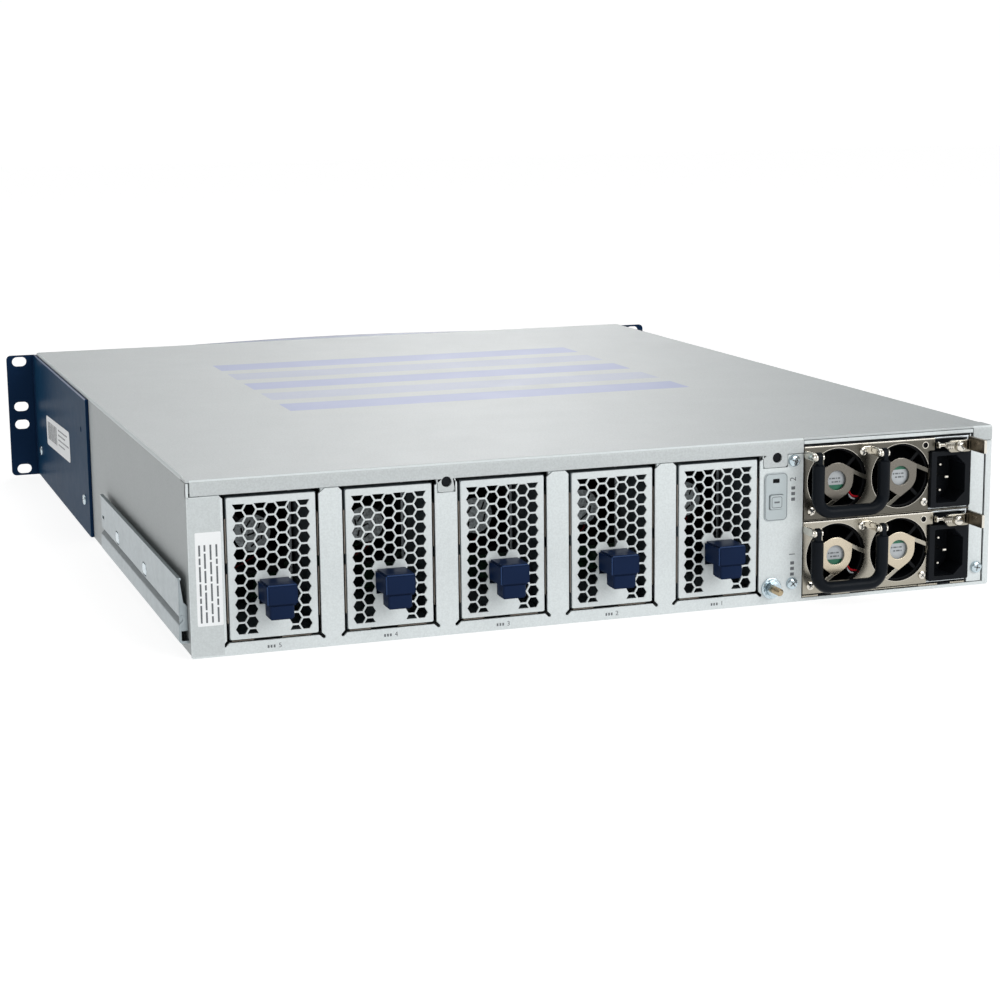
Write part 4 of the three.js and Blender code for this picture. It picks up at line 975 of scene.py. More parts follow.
def blades(shape, x, z, hub, tip, y0, y1, count):
    """A round-nosed hub with twisted, swept blades."""
    shape.lathe("y", (x, z), [(0, y0), (hub * 0.7, y0), (hub * 0.94, y0 + 1), (hub, y0 + 3), (hub, y1),
                              (0, y1)], 40)
    rows, depth = 7, (y1 - y0) * 0.78
    for i in range(count):
        part = bmesh.new()
        grid = []
        for r in range(rows):
            u = r / (rows - 1)
            radius = hub - 0.6 + (tip - hub + 0.6) * u
            line = []
            for c in range(7):
                v = c / 6 - 0.5
                pitch = radians(58 - 22 * u)
                arc_length = v * depth * cos(pitch) * 1.1
                angle = i * 2 * pi / count + 0.30 * u + arc_length / max(radius, 1)
                bend = 1.2 * (0.25 - v * v)
                y = (y0 + y1) / 2 + v * depth * sin(pitch) + bend
                line.append((radius * cos(angle), y, radius * sin(angle)))
            grid.append(line)
        for offset in (-0.4, 0.4):
            sheet = [[part.verts.new((x + px, y + offset, z + pz)) for px, y, pz in line] for line in grid]
            for near, far in zip(sheet, sheet[1:]):
                for c in range(6):
                    part.faces.new((near[c], near[c + 1], far[c + 1], far[c]))
            if offset < 0:
                under = sheet
        for k in range(6):
            part.faces.new((under[0][k], under[0][k + 1], sheet[0][k + 1], sheet[0][k]))
            part.faces.new((under[-1][k], under[-1][k + 1], sheet[-1][k + 1], sheet[-1][k]))
        for k in range(rows - 1):
            part.faces.new((under[k][0], under[k + 1][0], sheet[k + 1][0], sheet[k][0]))
            part.faces.new((under[k][-1], under[k + 1][-1], sheet[k + 1][-1], sheet[k][-1]))
        shape.take(part)


def fan_rotor(n):
    low, high = corners(f"fan_rotor_{n}")
    z = middle(f"fan_housing_{n}").z
    shape = Shape(DEEP_BLACK)
    blades(shape, FAN_X[n], z, 9.0, 18.6, low.y, high.y, 5)
    shape.place(f"fan_blades_{n}", f"fan_rotor_{n}", [f"fan_rotor_{n}"], "black_plastic")


def fan_latch(n):
    """A stepped blue thumb block with a wide foot plate and an inner spring tongue."""
    low, high = corners(f"fan_latch_{n}")
    x = FAN_X[n]
    out = high.y
    base = REAR + 0.4
    split, top, bottom = 26.6, high.z, 19.9
    shape = Shape(BLUE)
    tip = out + 1.2
    head = [(x - 8.3, base), (x + 8, base), (x + 7.9, base + 3), (x + 7.2, tip), (x - 8.3, tip)]
    shape.prism(head, "z", split, top, edge=1.0)
    foot = rounded(x - 6.3, x + 6.0, REAR + 6.5, tip - 0.1, 1.2, 4)
    shape.prism(foot, "z", bottom, split + 0.9, edge=0.8)
    # Thin rods of lighter blue along the head's top and front edges: painted highlights.
    shape.use(BLUE_EDGE_HIGHLIGHT).rod("x", (tip - 0.55, top - 0.55), 0.42, x - 7.4, x + 6.4, 12)
    shape.rod("z", (x + 6.7, tip - 0.58), 0.42, split + 0.9, top - 0.8, 12)
    shape.use(BLUE).box(x - 5, x + 5, REAR - 7, base + 1, 27, 34, 0.4)
    shape.box(x - 5, x + 5, low.y, REAR - 6.5, low.z, 34, 0.5)
    shape.box(x - 3.5, x + 3.5, REAR - 6.6, REAR - 4.8, low.z, low.z + 3, 0.5)
    shape.place(f"fan_latch_{n}_block", f"fan_latch_{n}", [f"fan_latch_{n}"], "blue_plastic")


# ---------------------------------------------------------------- power supplies

FACE_Y = REAR + 0.4
FACE_THICK = 1.4
SUPPLY = {"left": -107.7, "right": -206.7, "height": 39.2}
RING = {"x": (-126.9, -164.8), "z": 20.0, "outer": 17.4, "disc": 9.6, "point": 11.4, "eye": 5.2, "arm": 2.2,
        "slant": 54}
BAIL = {"left": -110.3, "right": -148.6, "y": REAR + 11.5, "up": 35.3}
LEVER = {"x": -197.8, "up": 34.6}


def guard_voids(cx, cz, first):
    """The three openings between a guard's disc and its ring, parted by slanted arms."""
    outer, disc, point, wide = RING["outer"], RING["disc"], RING["point"], RING["arm"]
    lean = degrees(acos(disc / point))

    def reach(px, pz, dx, dz, radius):
        b = px * dx + pz * dz
        c = px * px + pz * pz - radius * radius
        t = -b + sqrt(b * b - c)
        return px + t * dx, pz + t * dz

    arms = []
    for i in range(3):
        vertex = radians(first + i * 120)
        run = vertex - radians(RING["slant"])
        dx, dz = cos(run), sin(run)
        tip = point * cos(vertex), point * sin(vertex)
        root = tip[0] + wide * dz, tip[1] - wide * dx
        arms.append((tip, reach(*tip, dx, dz, outer), reach(*root, dx, dz, disc),
                     reach(*root, dx, dz, outer)))
    angle = lambda p: degrees(atan2(p[1], p[0]))
    voids = []
    for i in range(3):
        tip, outer_a, _, _ = arms[i]
        _, _, inner_b, outer_b = arms[(i + 1) % 3]
        start, end = angle(outer_a), angle(outer_b)
        end += 360 if end < start else 0
        back_from, back_to = angle(inner_b), first + i * 120 + lean
        back_from += 360 * ceil((back_to - back_from) / 360)
        rim = arc(0, 0, outer, start, end, 20)
        core = arc(0, 0, disc, back_from, back_to, 16)
        voids.append([(cx - a, cz + b) for a, b in rim + core + [tip]])
    return voids


def guard_disc(cx, cz, first):
    """A guard's disc, drawn out to a point where each arm leaves it."""
    disc, point = RING["disc"], RING["point"]
    lean = degrees(acos(disc / point))
    outline = []
    for i in range(3):
        vertex = first + i * 120
        outline += arc(0, 0, disc, vertex - 120 + lean, vertex - lean, 12)
        outline += arc(0, 0, point, vertex, vertex, 1)[:1]
    return [(cx - a, cz + b) for a, b in outline]


def bail_lugs(shape, pivot):
    """The lugs that carry the bail, each with a headed pin; the second one's foot is riveted on."""
    y = BAIL["y"]
    shape.use(BRIGHT)
    for x in (BAIL["left"], BAIL["right"]):
        ear = rounded(FACE_Y - 0.3, y + 2.8, pivot - 2.2, pivot + 2.2, 2.0, 6)
        shape.plate([ear], "x", x + 1.4, x + 2.9, edge=0.55)
        shape.rod("x", (y, pivot), 1.1, x - 2.6, x + 2.8, 20)
        for outer, inner in ((x - 2.9, x - 1.6), (x + 3.9, x + 2.7)):
            head = [(0, outer), (1.3, outer), (2.0, outer * 0.6 + inner * 0.4), (2.1, inner), (0, inner)]
            shape.lathe("x", (y, pivot), head, 24)
    foot = BAIL["right"] + 1.4
    shape.box(foot, foot + 5.4, FACE_Y - 0.1, FACE_Y + 1.1, pivot - 2.2, pivot + 2.2, 0.5)
    rivet = [(0, FACE_Y + 1), (1.7, FACE_Y + 1), (1.4, FACE_Y + 1.7), (0, FACE_Y + 1.9)]
    shape.lathe("y", (foot + 3.6, pivot), rivet, 24)


def lever_pivot(n):
    """The slotted screw that the release lever turns on, with the cross pin beside it."""
    shape = Shape(BRIGHT)
    x, z = LEVER["x"], SUPPLY_LOW[n] + LEVER["up"]
    shape.rod("y", (x, z), 1.4, FACE_Y - 5.5, REAR + 6.6, 20)
    pin = REAR + 2.6, z + 0.8
    shape.rod("x", pin, 1.0, -190.2, -185.5, 20)
    shape.rod("x", pin, 1.9, -186.9, -185.5, 24, 0.5)
    shape.rod("y", (-186.6, z + 0.8), 0.9, FACE_Y - 5.5, REAR + 2.8, 16)
    screw(shape, "y", (x, z), REAR + 5.3, 2.9, 2.2, slots=1, turn=0.0 if n == 1 else 0.9)
    shape.place(f"supply_lever_screw_{n}", f"psu_{n}", (), "nickel")


def supply_face(n):
    """The plated face with its two guards, folded top edge, screws, bail lugs and lamp."""
    low = SUPPLY_LOW[n]
    left, top = SUPPLY["left"], low + SUPPLY["height"]
    back, cz, rim = FACE_Y - FACE_THICK, low + RING["z"], RING["outer"]
    inlet = corners(f"psu_inlet_{n}")[1].x + 0.3
    step, notch = low + 32.3, -185.3
    lamp = (-179.5, low + 35.6)
    outline = [(notch, step), (notch, top), (left, top), (left, low), (inlet, low), (inlet, step)]
    starts = dict(zip(RING["x"], (28, 31)))
    holes = []
    for cx, first in starts.items():
        holes += guard_voids(cx, cz, first)
        holes.append(circle(cx, cz, RING["eye"], 32))
    holes.append(circle(*lamp, 1.5, 20))
    shape = Shape(NICKEL if n == 1 else NICKEL_DIM)
    shape.plate([outline] + holes, "y", back, FACE_Y, edge=0.25)
    shape.use(GUARD if n == 1 else GUARD_DARK)
    for cx, first in starts.items():
        disc = [guard_disc(cx, cz, first), circle(cx, cz, RING["eye"] + 0.1, 32)]
        shape.plate(disc, "y", FACE_Y - 1.2, FACE_Y + 0.15, edge=0.2)
    # The folded top edge and the rims of the openings in bright nickel, brighter than the face: painted
    # highlights on the fold and the rims.
    shape.use(BRIGHT).box(notch, left, back, FACE_Y + 0.25, top - 0.7, top, 0.2)
    for cx in RING["x"]:
        section = [(rim, FACE_Y - 0.4), (rim, FACE_Y + 0.1), (rim + 0.2, FACE_Y + 0.1),
                   (rim + 0.2, FACE_Y - 0.4)]
        shape.lathe("y", (cx, cz), section + section[:1], 72)
    ledge = [(1.5, FACE_Y), (1.9, FACE_Y), (1.9, FACE_Y + 0.25), (1.5, FACE_Y + 0.25), (1.5, FACE_Y)]
    shape.lathe("y", lamp, ledge, 24)
    for x, z, turn in ((-111.9, 4.5, 0.5), (-142.1, 34.9, 0.2), (-179.3, 4.8, 0.9)):
        screw(shape, "y", (x, low + z), FACE_Y, 2.3, 1.2, turn=turn)
    # A black sheet behind the lever paints the recess's shade.
    recess = SUPPLY["right"] + 0.4, notch + 0.6
    shape.use(BLACK).box(*recess, FACE_Y - 6, FACE_Y - 5, step - 0.4, top - 0.3, 0.2)
    bail_lugs(shape, low + BAIL["up"])
    shape.place(f"supply_face_{n}", f"psu_{n}", [f"psu_face_{n}"], "nickel")
    lever_pivot(n)
    lens = Shape(LAMP)
    lens.rod("y", lamp, 1.45, back - 1.5, FACE_Y - 0.5, 20)
    lens.place(f"supply_lamp_{n}", f"psu_{n}")


def supply_case(n):
    """The supply's sheet-metal tube, with vents at its inner end and a card-edge plug."""
    low, high = corners(f"psu_case_{n}")
    front, rear = low.y + 8, high.y
    z0, z1 = low.z, high.z
    shape = Shape(RAW_STEEL)
    sheet = 1.0
    shape.box(low.x, high.x, front, rear, z0, z0 + sheet, 0.3)
    shape.box(low.x, high.x, front, rear, z1 - sheet, z1, 0.3)
    shape.box(low.x, low.x + sheet, front, rear, z0 + 0.5, z1 - 0.5, 0.3)
    shape.box(high.x - sheet, high.x, front, rear, z0 + 0.5, z1 - 0.5, 0.3)
    vents = [rounded(-122 - i * 16, -112 - i * 16, z0 + 24, z0 + 33, 1.5, 3) for i in range(5)]
    shape.plate([rect(low.x, high.x, z0, z1)] + vents, "y", front, front + sheet, edge=0.2)
    for x in (low.x + 6, high.x - 6):
        screw(shape, "y", (x, z0 + 6), front, 2.2, 0.9, out=-1)
    shape.use(BOARD_SIDE).box(-180, -134, low.y, front + 2, z0 + 13.8, z0 + 16.2, 0.15)
    shape.use(GOLD)
    for i in range(20):
        x = -178 + i * 2.2
        shape.box(x - 0.7, x + 0.7, low.y + 0.8, front - 0.5, z0 + 16.15, z0 + 16.3, 0.05)
    shape.place(f"supply_case_{n}", f"psu_{n}", [f"psu_case_{n}"], "nickel")


def supply_fans(n):
    low, high = corners(f"psu_fans_{n}")
    cz = SUPPLY_LOW[n] + RING["z"]
    shape = Shape(DEEP_BLACK)
    for cx in RING["x"]:
        fan_frame(shape, cx, cz, 34.4, 16.2, 8.6, low.y, high.y, 2.0)
        shape.use(HUB).rod("y", (cx, cz), 7.6, high.y - 0.25, high.y - 0.05, 36, 0.05)
        band = arc(cx, cz, 7.5, 200, 340, 14) if cx == RING["x"][0] else arc(cx, cz, 7.5, 24, 156, 14)
        shape.use(GREEN_PRINT).prism(band, "y", high.y - 0.1, high.y - 0.02, edge=0)
        shape.use(SOFT_INK)
        for row, lengths in enumerate(((1.5, 0.6, 2.0, 0.9), (0.7, 2.2, 1.2))):
            x = cx - 2.9
            for length in lengths:
                shape.box(x, x + length, high.y - 0.08, high.y - 0.02, cz + 0.5 - row * 1.9,
                          cz + 1.3 - row * 1.9, 0.01)
                x += length + 0.5
        shape.use(DEEP_BLACK)
    shape.box(-148, -143.8, low.y, high.y - 2, SUPPLY_LOW[n] + 5, SUPPLY_LOW[n] + 34, 0.4)
    shape.use(RED)
    cx = RING["x"][0]
    y = high.y - 0.2
    wire = [(cx - 7, y - 1, cz - 3), (cx - 9, y, cz - 8), (cx - 11.5, y, cz - 9.5),
            (cx - 15, y - 1, cz - 10), (cx - 17, y - 6, cz - 12)]
    shape.tube(smooth(wire), 0.55, 10)
    shape.use(HUB).tube(smooth([(a, b - 0.3, c - 1.5) for a, b, c in wire]), 0.45, 10)
    shape.place(f"supply_fans_{n}", f"psu_{n}", [f"psu_fans_{n}"], "black_plastic")


def supply_rotor(n, letter, cx):
    node = f"psu_rotor_{n}{letter}"
    low, high = corners(node)
    shape = Shape(DEEP_BLACK)
    blades(shape, cx, SUPPLY_LOW[n] + RING["z"], 7.8, 15.5, low.y, high.y, 7)
    shape.place(f"supply_blades_{n}{letter}", node, [node], "black_plastic")


def supply_inlet(n):
    """The mains inlet on its side: two chamfered corners and three blades."""
    low, high = corners(f"psu_inlet_{n}")
    shape = Shape(BLACK)
    cz = (low.z + high.z) / 2
    a, b, c = high.x - 3.4, low.x + 3.6, 12.8
    chamfer = 5.4
    mouth = (arc(a - 0.8, cz + c - 0.8, 0.8, 0, 90, 4) + [(b + chamfer, cz + c), (b, cz + c - chamfer)]
             + [(b, cz - c + chamfer), (b + chamfer, cz - c)] + arc(a - 0.8, cz - c + 0.8, 0.8, -90, 0, 4))
    back = high.y - 17
    face = rounded(low.x, high.x, low.z, high.z, 0.9, 4)
    shape.plate([face, mouth], "y", high.y - 2.6, high.y, edge=0.4)
    x_in = low.x + 1.5
    shape.plate([rounded(x_in, high.x, low.z + 0.4, high.z - 0.4, 0.6, 3), mouth], "y", back - 0.2,
                high.y - 2.4, edge=0.1)
    shape.box(x_in, high.x, REAR - 22, back, low.z + 0.4, high.z - 0.4, 0.5)
    shape.use(BRIGHT)
    pin = a - 5.6
    for x, z, half in ((pin, cz + 7, 1.1), (pin, cz - 7, 1.1), (pin - 4, cz, 1.6)):
        tip = high.y - 6
        profile = [(x - half, back - 1), (x + half, back - 1), (x + half, tip - 1.2), (x + half - 0.6, tip)]
        profile += [(x - half + 0.6, tip), (x - half, tip - 1.2)]
        shape.prism(profile, "z", z - 0.5, z + 0.5, edge=0.2)
    shape.place(f"supply_inlet_{n}", f"psu_{n}", [f"psu_inlet_{n}"], "black_plastic")


def supply_handle(n):
    """A bail of wire in a thick vinyl sleeve, with a flat eye on each pivot pin."""
    low = SUPPLY_LOW[n]
    left, right = BAIL["left"], BAIL["right"]
    y, bar, top, bend = BAIL["y"], low + 5.6, low + BAIL["up"], 8.0
    path = [(left, y, top - 4.6), (left, y, bar + bend)]
    path += [(a, y, b) for a, b in arc(left - bend, bar + bend, bend, 0, -90, 10)[1:]]
    path += [(a, y, b) for a, b in arc(right + bend, bar + bend, bend, -90, -180, 10)]
    path += [(right, y, top - 4.6)]
    shape = Shape(VINYL)
    shape.tube(path, 3.3, 24)
    for x in (left, right):
        eye = [rounded(y - 2.5, y + 2.5, top - 5.7, top + 2.7, 2.4, 6), circle(y, top, 1.3, 20)]
        shape.plate(eye, "x", x - 1.2, x + 1.2, edge=0.3)
        shape.lathe("z", (x, y), [(0, top - 5.6), (3.3, top - 5.6), (3.2, top - 4.4), (2.0, top - 3.6),
                                  (0, top - 3.4)], 24)
    shape.place(f"supply_bail_{n}", f"psu_handle_{n}", [f"psu_handle_{n}"], "handle_sleeve")


def supply_latch(n):
    """The release lever: a plate on the slotted screw, a thumb tab and a small heel."""
    low, high = corners(f"psu_latch_{n}")
    x, zc, y = LEVER["x"], SUPPLY_LOW[n] + LEVER["up"], REAR + 3.2
    thick, tab_x = 1.8, low.x
    shape = Shape(NICKEL)
    arm = [rounded(x - 7.6, x + 6.8, zc - 3.2, zc + 3.2, 2.2, 5), circle(x, zc, 1.8, 20)]
    shape.plate(arm, "y", y, y + thick, edge=0.3)
    shape.use(BRONZE)
    tab = rounded(y, high.y - 0.3, zc - 2.4, zc + 5, 0.9, 4)
    shape.plate([tab], "x", tab_x, tab_x + thick, edge=0.3)
    shape.use(BRIGHT).box(tab_x + thick - 0.2, x - 4, y, y + thick, zc - 2.4, zc + 3.4, 0.4)
    shape.box(tab_x + 0.1, tab_x + thick - 0.1, high.y - 0.6, high.y, zc - 2.2, zc + 4.8, 0.25)
    turns, pitch = 36, 0.13
    coil = [(x + 4.6 + pitch * t, y + 2.9 + 1.5 * cos(t * pi / 4),
             zc + 0.8 + 1.5 * sin(t * pi / 4))
            for t in range(turns)]
    shape.tube(coil, 0.42, 8)
    shape.place(f"supply_lever_{n}", f"psu_latch_{n}", [f"psu_latch_{n}"], "nickel")


# ---------------------------------------------------------------- front

BEZEL = {"base": 1.5, "bulge": 20, "reach": 174, "half": HALF - 1.4, "low": 1.0, "high": 87.0, "wall": 3.0}
WINDOW = {"x": 152, "low": 14, "high": 44}
POWER = {"x": 192, "z": 44}


def bulge(x):
    """How far the bezel's face stands in front of the chassis at x."""
    t = min(abs(x) / BEZEL["reach"], 1.0)
    return BEZEL["base"] + BEZEL["bulge"] * cos(t * pi / 2) ** 2 + 2


def bulged(part):
    """Bends a flat part, drawn at the chassis front, to the bezel's curve."""
    for i in range(-29, 30):
        bmesh.ops.bisect_plane(part, geom=part.verts[:] + part.edges[:] + part.faces[:],
                               plane_co=(i * 6.0, 0, 0), plane_no=(1, 0, 0))
    for vertex in part.verts:
        vertex.co.y -= bulge(vertex.co.x) - BEZEL["wall"]


def bezel():
    half, low, high = BEZEL["half"], BEZEL["low"], BEZEL["high"]
    shape = Shape(BEZEL_BLUE)
    holes = [rounded(-WINDOW["x"], WINDOW["x"], WINDOW["low"], WINDOW["high"], 3, 5)]
    for row in range(4):
        for column in (-1, 0, 1):
            x, z = column * 102, 52 + row * 8
            holes.append(arc(x + 45, z + 2, 2, -90, 90, 6) + arc(x - 45, z + 2, 2, 90, 270, 6))
    holes.append(circle(POWER["x"], POWER["z"], 6.5, 36))
    y0 = FRONT - BEZEL["wall"]
    shape.plate([rounded(-half, half, low, high, 1.6, 4)] + holes, "y", y0, FRONT, edge=0.7, shape=bulged)
    for z0, z1 in ((low, low + 3), (high - 3, high)):
        edge_points = [(x, FRONT - bulge(x) + 1.2) for x in range(-170, 171, 10)]
        outline = [(-172, FRONT - 2.05)] + edge_points + [(172, FRONT - 2.05)]
        shape.prism(outline, "z", z0, z1, edge=0.3)
    shape.place("bezel_fascia", "chassis", ["front_bezel"], "navy_paint")
    trim = Shape(KEYPAD)
    ring = [circle(POWER["x"], POWER["z"], 7.6, 40), circle(POWER["x"], POWER["z"], 6.5, 40)]
    trim.plate(ring, "y", FRONT - 4.1, FRONT - 3.4, edge=0.2)
    trim.use(GREEN_LAMP)
    for i in range(3):
        trim.rod("y", (POWER["x"], POWER["z"] - 14 - 6 * i), 1.3, FRONT - 4.1, FRONT - 3.4, 20)
    trim.place("bezel_trim", "chassis", (), "grey_overlay")


def power_button():
    low, high = corners("power_button")
    x, z = POWER["x"], POWER["z"]
    shape = Shape(KEYPAD)
    front = low.y
    shape.lathe("y", (x, z), [(0, front + 0.5), (3, front + 0.4), (5.2, front), (5.9, front + 0.5),
                              (6, front + 3.4), (0, front + 3.4)], 40)
    shape.rod("y", (x, z), 2, front + 3, high.y, 20)
    shape.use(SOFT_INK)
    shape.plate([arc(x, z, 2.6, -55, 235, 24) + arc(x, z, 2.1, 235, -55, 24)], "y", front + 0.3,
                front + 0.45, edge=0.02)
    shape.box(x - 0.25, x + 0.25, front + 0.3, front + 0.45, z + 0.6, z + 3.0, 0.03)
    shape.place("power_cap", "power_button", ["power_button"], "grey_overlay")


def front_panel():
    low, high = corners("front_panel")
    shape = Shape(PAINT)
    copper_low, copper_high = corners("copper_ports")
    fibre_low, fibre_high = corners("fibre_ports")
    holes = [rect(copper_low.x - 0.4, copper_high.x + 0.4, copper_low.z - 0.4, copper_high.z + 0.4),
             rect(fibre_low.x - 0.4, fibre_high.x + 0.4, fibre_low.z - 0.4, fibre_high.z + 0.4),
             circle(POWER["x"], POWER["z"], 2.6, 20)]
    for column in (-1, 0, 1):
        for i in range(14):
            for j in range(4):
                x, z = column * 102 - 45 + i * 6.9, 55 + j * 7
                holes.append(hexagon(x + 3.4 * (j % 2), z, 5.2))
    shape.plate([rect(low.x, high.x, low.z, high.z)] + holes, "y", low.y, high.y, edge=0.2)
    for x in (-160, -50, 20, 130, 175):
        screw(shape, "y", (x, 8), low.y, 2.6, 1.2, out=-1)
    shape.place("front_inner_panel", "chassis", ["front_panel"], "chassis_steel")


def copper_ports():
    """Two rows of two network sockets with contacts, latch notches and lamps."""
    low, high = corners("copper_ports")
    shape = Shape(RAW_STEEL)
    centres = [(low.x + 8.5 + 17 * i, 22 + 14 * j, j) for i in range(2) for j in range(2)]
    mouths = []
    for x, z, row in centres:
        notch = 1 if row else -1
        top, bottom = z + 4, z - 5
        if notch > 0:
            mouths.append([(x - 6, bottom), (x + 6, bottom), (x + 6, top - 2), (x + 3, top - 2),
                           (x + 3, top), (x - 3, top), (x - 3, top - 2), (x - 6, top - 2)])
        else:
            mouths.append([(x - 6, bottom + 2), (x - 3, bottom + 2), (x - 3, bottom), (x + 3, bottom),
                           (x + 3, bottom + 2), (x + 6, bottom + 2), (x + 6, top), (x - 6, top)])
    shape.plate([rect(low.x, high.x, low.z, high.z)] + mouths, "y", low.y, low.y + 0.8, edge=0.2)
    shape.use(BLACK)
    shape.plate([rect(low.x + 0.5, high.x - 0.5, low.z + 0.5, high.z - 0.5)] + mouths, "y", low.y + 0.7,
                low.y + 16, edge=0.1)
    shape.box(low.x, high.x, low.y + 16, high.y, low.z, high.z, 0.3)
    shape.use(GOLD)
    for x, z, row in centres:
        for i in range(8):
            px = x - 3.6 + i * 1.03
            dz = -3.6 if row else 2.6
            shape.box(px - 0.2, px + 0.2, low.y + 3, low.y + 14, z + dz, z + dz + 0.4, 0.05)
    shape.use(GREEN_LAMP)
    for x, z, row in centres:
        dz = 2.7 if row else -3.9
        for side in (-1, 1):
            shape.box(x + side * 4.6 - 1, x + side * 4.6 + 1, low.y, low.y + 1.2, z + dz - 0.1,
                      z + dz + 0.9, 0.15)
    shape.place("copper_sockets", "chassis", ["copper_ports"], "zinc")


def fibre_ports():
    low, high = corners("fibre_ports")
    shape = Shape(RAW_STEEL)
    xs = [low.x + 8.7 + 17 * i for i in range(4)]
    mouths = [rounded(x - 7, x + 7, 22.4, 31.4, 0.4, 2) for x in xs]
    face = rect(low.x, high.x, low.z, high.z)
    shape.plate([face] + mouths, "y", low.y, low.y + 0.8, edge=0.2)
    shape.plate([rect(low.x + 0.4, high.x - 0.4, low.z + 0.4, high.z - 0.4)] + mouths, "y", low.y + 0.7,
                high.y - 2, edge=0.1)
    shape.box(low.x, high.x, high.y - 2.1, high.y, low.z, high.z, 0.3)
    shape.use(TIN)
    for x in xs:
        for i in range(4):
            px = x - 5 + i * 3.3
            shape.box(px - 1.2, px + 1.2, low.y, low.y + 4, low.z, low.z + 0.5, 0.1)
    shape.place("fibre_cages", "chassis", ["fibre_ports"], "zinc")


# ---------------------------------------------------------------- inside


def board_parts():
    """Chips, coils and capacitors on the main board, seen through the vents."""
    shape = Shape(BLACK)
    top = corners("mainboard")[0].z + 9.4
    for i in range(5):
        for j in range(3):
            x, y = -80 + i * 17, -200 + j * 60
            shape.box(x, x + 9, y, y + 9, top, top + 2, 0.3)
    shape.use(TIN)
    for i in range(9):
        x, y = 112 + (i % 3) * 14, -210 + (i // 3) * 16
        shape.rod("z", (x, y), 4.5, top, top + 11, 24, 0.6)
    shape.use(RAW_STEEL)
    for x, y in ((30, -150), (-60, 20), (-60, 80)):
        shape.box(x, x + 34, y, y + 34, top, top + 2.6, 0.4)
    shape.place("board_components", "chassis")


def dress_cad():
    """Materials and eased edges for the CAD solids that stay in view inside."""
    looks = {"mainboard": BOARD_SIDE, "processor_heatsink": FIN, "memory_modules": BOARD_SIDE,
             "fan_backplane": BOARD_SIDE, "psu_board_1": BOARD_SIDE, "psu_board_2": BOARD_SIDE}
    for name, material in looks.items():
        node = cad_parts[name]
        node.data.materials.clear()
        node.data.materials.append(material)
        ease = node.modifiers.new("eased_edges", "BEVEL")
        ease.width = 0.2 * MM
        ease.segments = 1
        ease.limit_method = "ANGLE"


# ---------------------------------------------------------------- building

chassis_shell()
gaskets()
cover()
rear_screws()
ground_stud()
keypad()
markings()
for side, name in ((1, "rack_ear_left"), (-1, "rack_ear_right")):
    rack_ear(side, name)
ear_label()
for side, name in ((1, "inner_rail_left"), (-1, "inner_rail_right")):
    inner_rail(side, name)
supply_cage()
bezel()
power_button()
front_panel()
copper_ports()
fibre_ports()
board_parts()
dress_cad()

for n in FANS:
    fan_tray(n)
    fan_housing(n)
    fan_rotor(n)
    fan_latch(n)

for n in SUPPLIES:
    supply_case(n)
    supply_face(n)
    supply_fans(n)
    for letter, cx in zip("ab", RING["x"]):
        supply_rotor(n, letter, cx)
    supply_inlet(n)
    supply_handle(n)
    supply_latch(n)


# ---------------------------------------------------------------- floor, light and camera


def sky():
    """White near the horizon, and above it a grey room with a light patch at the rear and front."""
    world = bpy.data.worlds.new("studio")
    bpy.context.scene.world = world
    world.use_nodes = True
    nodes, links = world.node_tree.nodes, world.node_tree.links
    place = nodes.new("ShaderNodeTexCoord")
    split = nodes.new("ShaderNodeSeparateXYZ")
    links.new(place.outputs["Generated"], split.inputs["Vector"])
    across = remapped(nodes, links, split.outputs["X"], -1, 1)
    near = ramp_node(nodes, links, across, SKY["near"])
    beyond = ramp_node(nodes, links, across, SKY["beyond"])
    patch = nodes.new("ShaderNodeMix")
    patch.data_type = "RGBA"
    links.new(remapped(nodes, links, split.outputs["Y"], -0.25, 0.05), patch.inputs["Factor"])
    links.new(beyond.outputs["Color"], patch.inputs["A"])
    links.new(near.outputs["Color"], patch.inputs["B"])
    height = ramp_node(nodes, links, remapped(nodes, links, split.outputs["Z"], 0, 1), SKY["up"])
    mix = nodes.new("ShaderNodeMix")
    mix.data_type = "RGBA"
    mix.inputs["A"].default_value = (1.0, 1.0, 1.0, 1.0)
    links.new(height.outputs["Color"], mix.inputs["Factor"])
    links.new(patch.outputs["Result"], mix.inputs["B"])
    background = nodes["Background"]
    links.new(mix.outputs["Result"], background.inputs["Color"])
    background.inputs["Strength"].default_value = 1.02


def remapped(nodes, links, value, low, high):
    node = nodes.new("ShaderNodeMapRange")
    node.inputs["From Min"].default_value = low
    node.inputs["From Max"].default_value = high
    links.new(value, node.inputs["Value"])
    return node.outputs["Result"]


def studio():
    sky()
    floor = bmesh.new()
    bmesh.ops.create_grid(floor, x_segments=4, y_segments=4, size=6)
    data = bpy.data.meshes.new("studio_floor")
    floor.to_mesh(data)
    floor.free()
    paper = finish("studio_floor", (0.28, 0.28, 0.28), 0.9, mottle=0.0, rough_spread=0.0,
                   Emission_Color=(1.0, 1.0, 1.0, 1.0), Emission_Strength=0.86, Specular_IOR_Level=0.0)
    data.materials.append(paper)
    ground = bpy.data.objects.new("studio_floor", data)
    ground.location.z = -0.0005
    bpy.context.scene.collection.objects.link(ground)


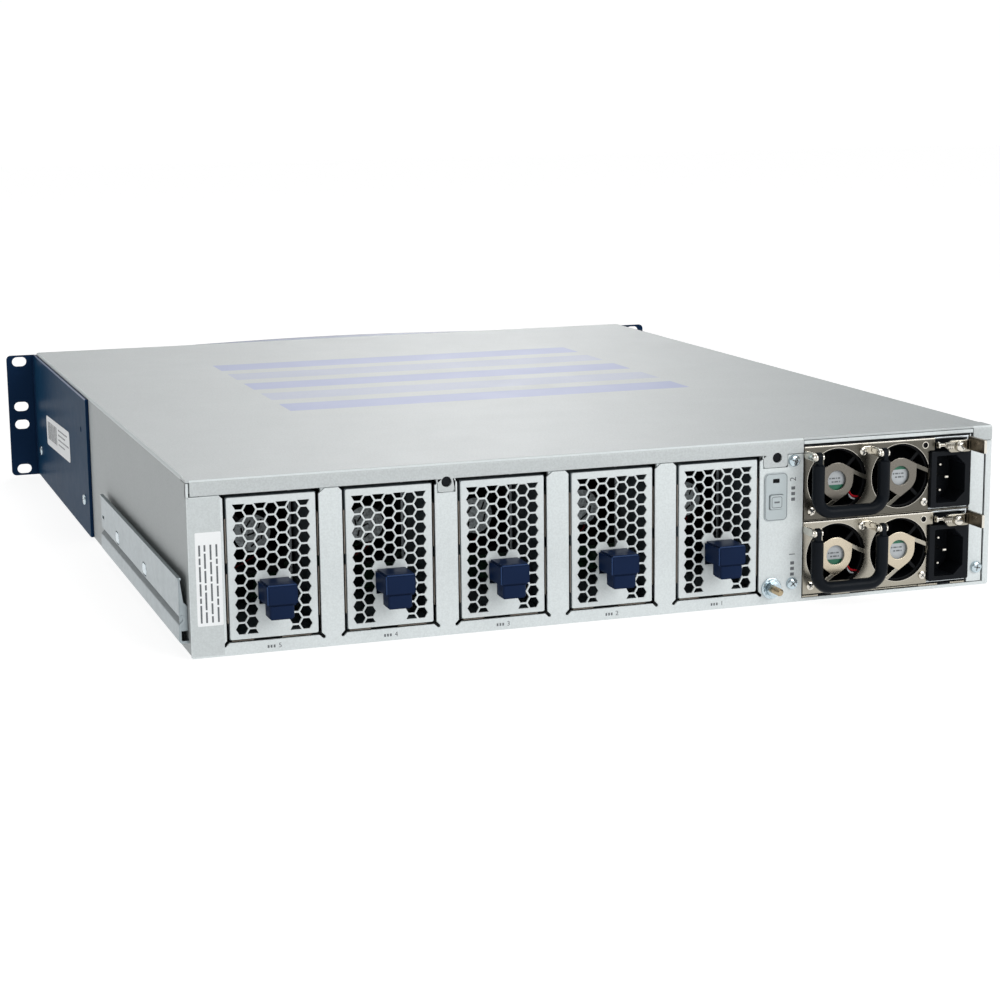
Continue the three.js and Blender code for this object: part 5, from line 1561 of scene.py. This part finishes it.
def softbox(name, place, aim, width, height, power, tone=(1.0, 1.0, 1.0)):
    data = bpy.data.lights.new(name, "AREA")
    data.shape = "RECTANGLE"
    data.size, data.size_y = width, height
    data.energy = power
    data.color = tone
    lamp = bpy.data.objects.new(name, data)
    lamp.location = place
    lamp.rotation_euler = (Vector(aim) - Vector(place)).to_track_quat("-Z", "Y").to_euler()
    bpy.context.scene.collection.objects.link(lamp)


def camera():
    """The photograph's view: azimuth, elevation and roll about the camera's own place."""
    azimuth, elevation, roll = (radians(CAMERA[key]) for key in ("azimuth", "elevation", "roll"))
    back = Vector((sin(azimuth) * cos(elevation), -cos(azimuth) * cos(elevation), sin(elevation)))
    right = (-back).cross(Vector((0, 0, 1))).normalized()
    up = right.cross(-back)
    turned_right = right * cos(roll) + up * sin(roll)
    turned_up = up * cos(roll) - right * sin(roll)
    data = bpy.data.cameras.new("camera")
    data.sensor_width = 36
    data.lens = CAMERA["lens"]
    data.clip_end = 20
    view = bpy.data.objects.new("camera", data)
    view.matrix_world = Matrix((turned_right, turned_up, back)).transposed().to_4x4()
    view.location = CAMERA["place"]
    bpy.context.scene.collection.objects.link(view)
    bpy.context.scene.camera = view


CAMERA = {"azimuth": 161.007, "elevation": 10.929, "roll": -0.6015, "lens": 79.396,
          "place": (0.41546, 1.29680, 0.27709)}
# Grey levels of the sky: towards the rear, past the front, and how it takes over with height.
LEVELS = {"near": ((0.0, 0.34), (0.22, 0.36), (0.37, 0.85), (0.46, 0.55), (0.7, 0.30)),
          "beyond": ((0.0, 0.0), (0.23, 0.0), (0.29, 0.5), (0.34, 3.5), (0.39, 1.6), (0.45, 0.9),
                     (0.50, 0.2), (0.7, 0.20)),
          "up": ((0.035, 0.0), (0.09, 1.0))}
SKY = {part: [(at, (level,) * 3) for at, level in levels] for part, levels in LEVELS.items()}

studio()
softbox("overhead", (0.3, -0.2, 1.9), (0, 0, 0), 2.2, 1.8, 8)
softbox("rear_key", (-0.9, 1.9, 0.9), (0, 0.2, 0.05), 1.4, 1.1, 20)
camera()
bpy.context.scene.view_settings.view_transform = "Standard"
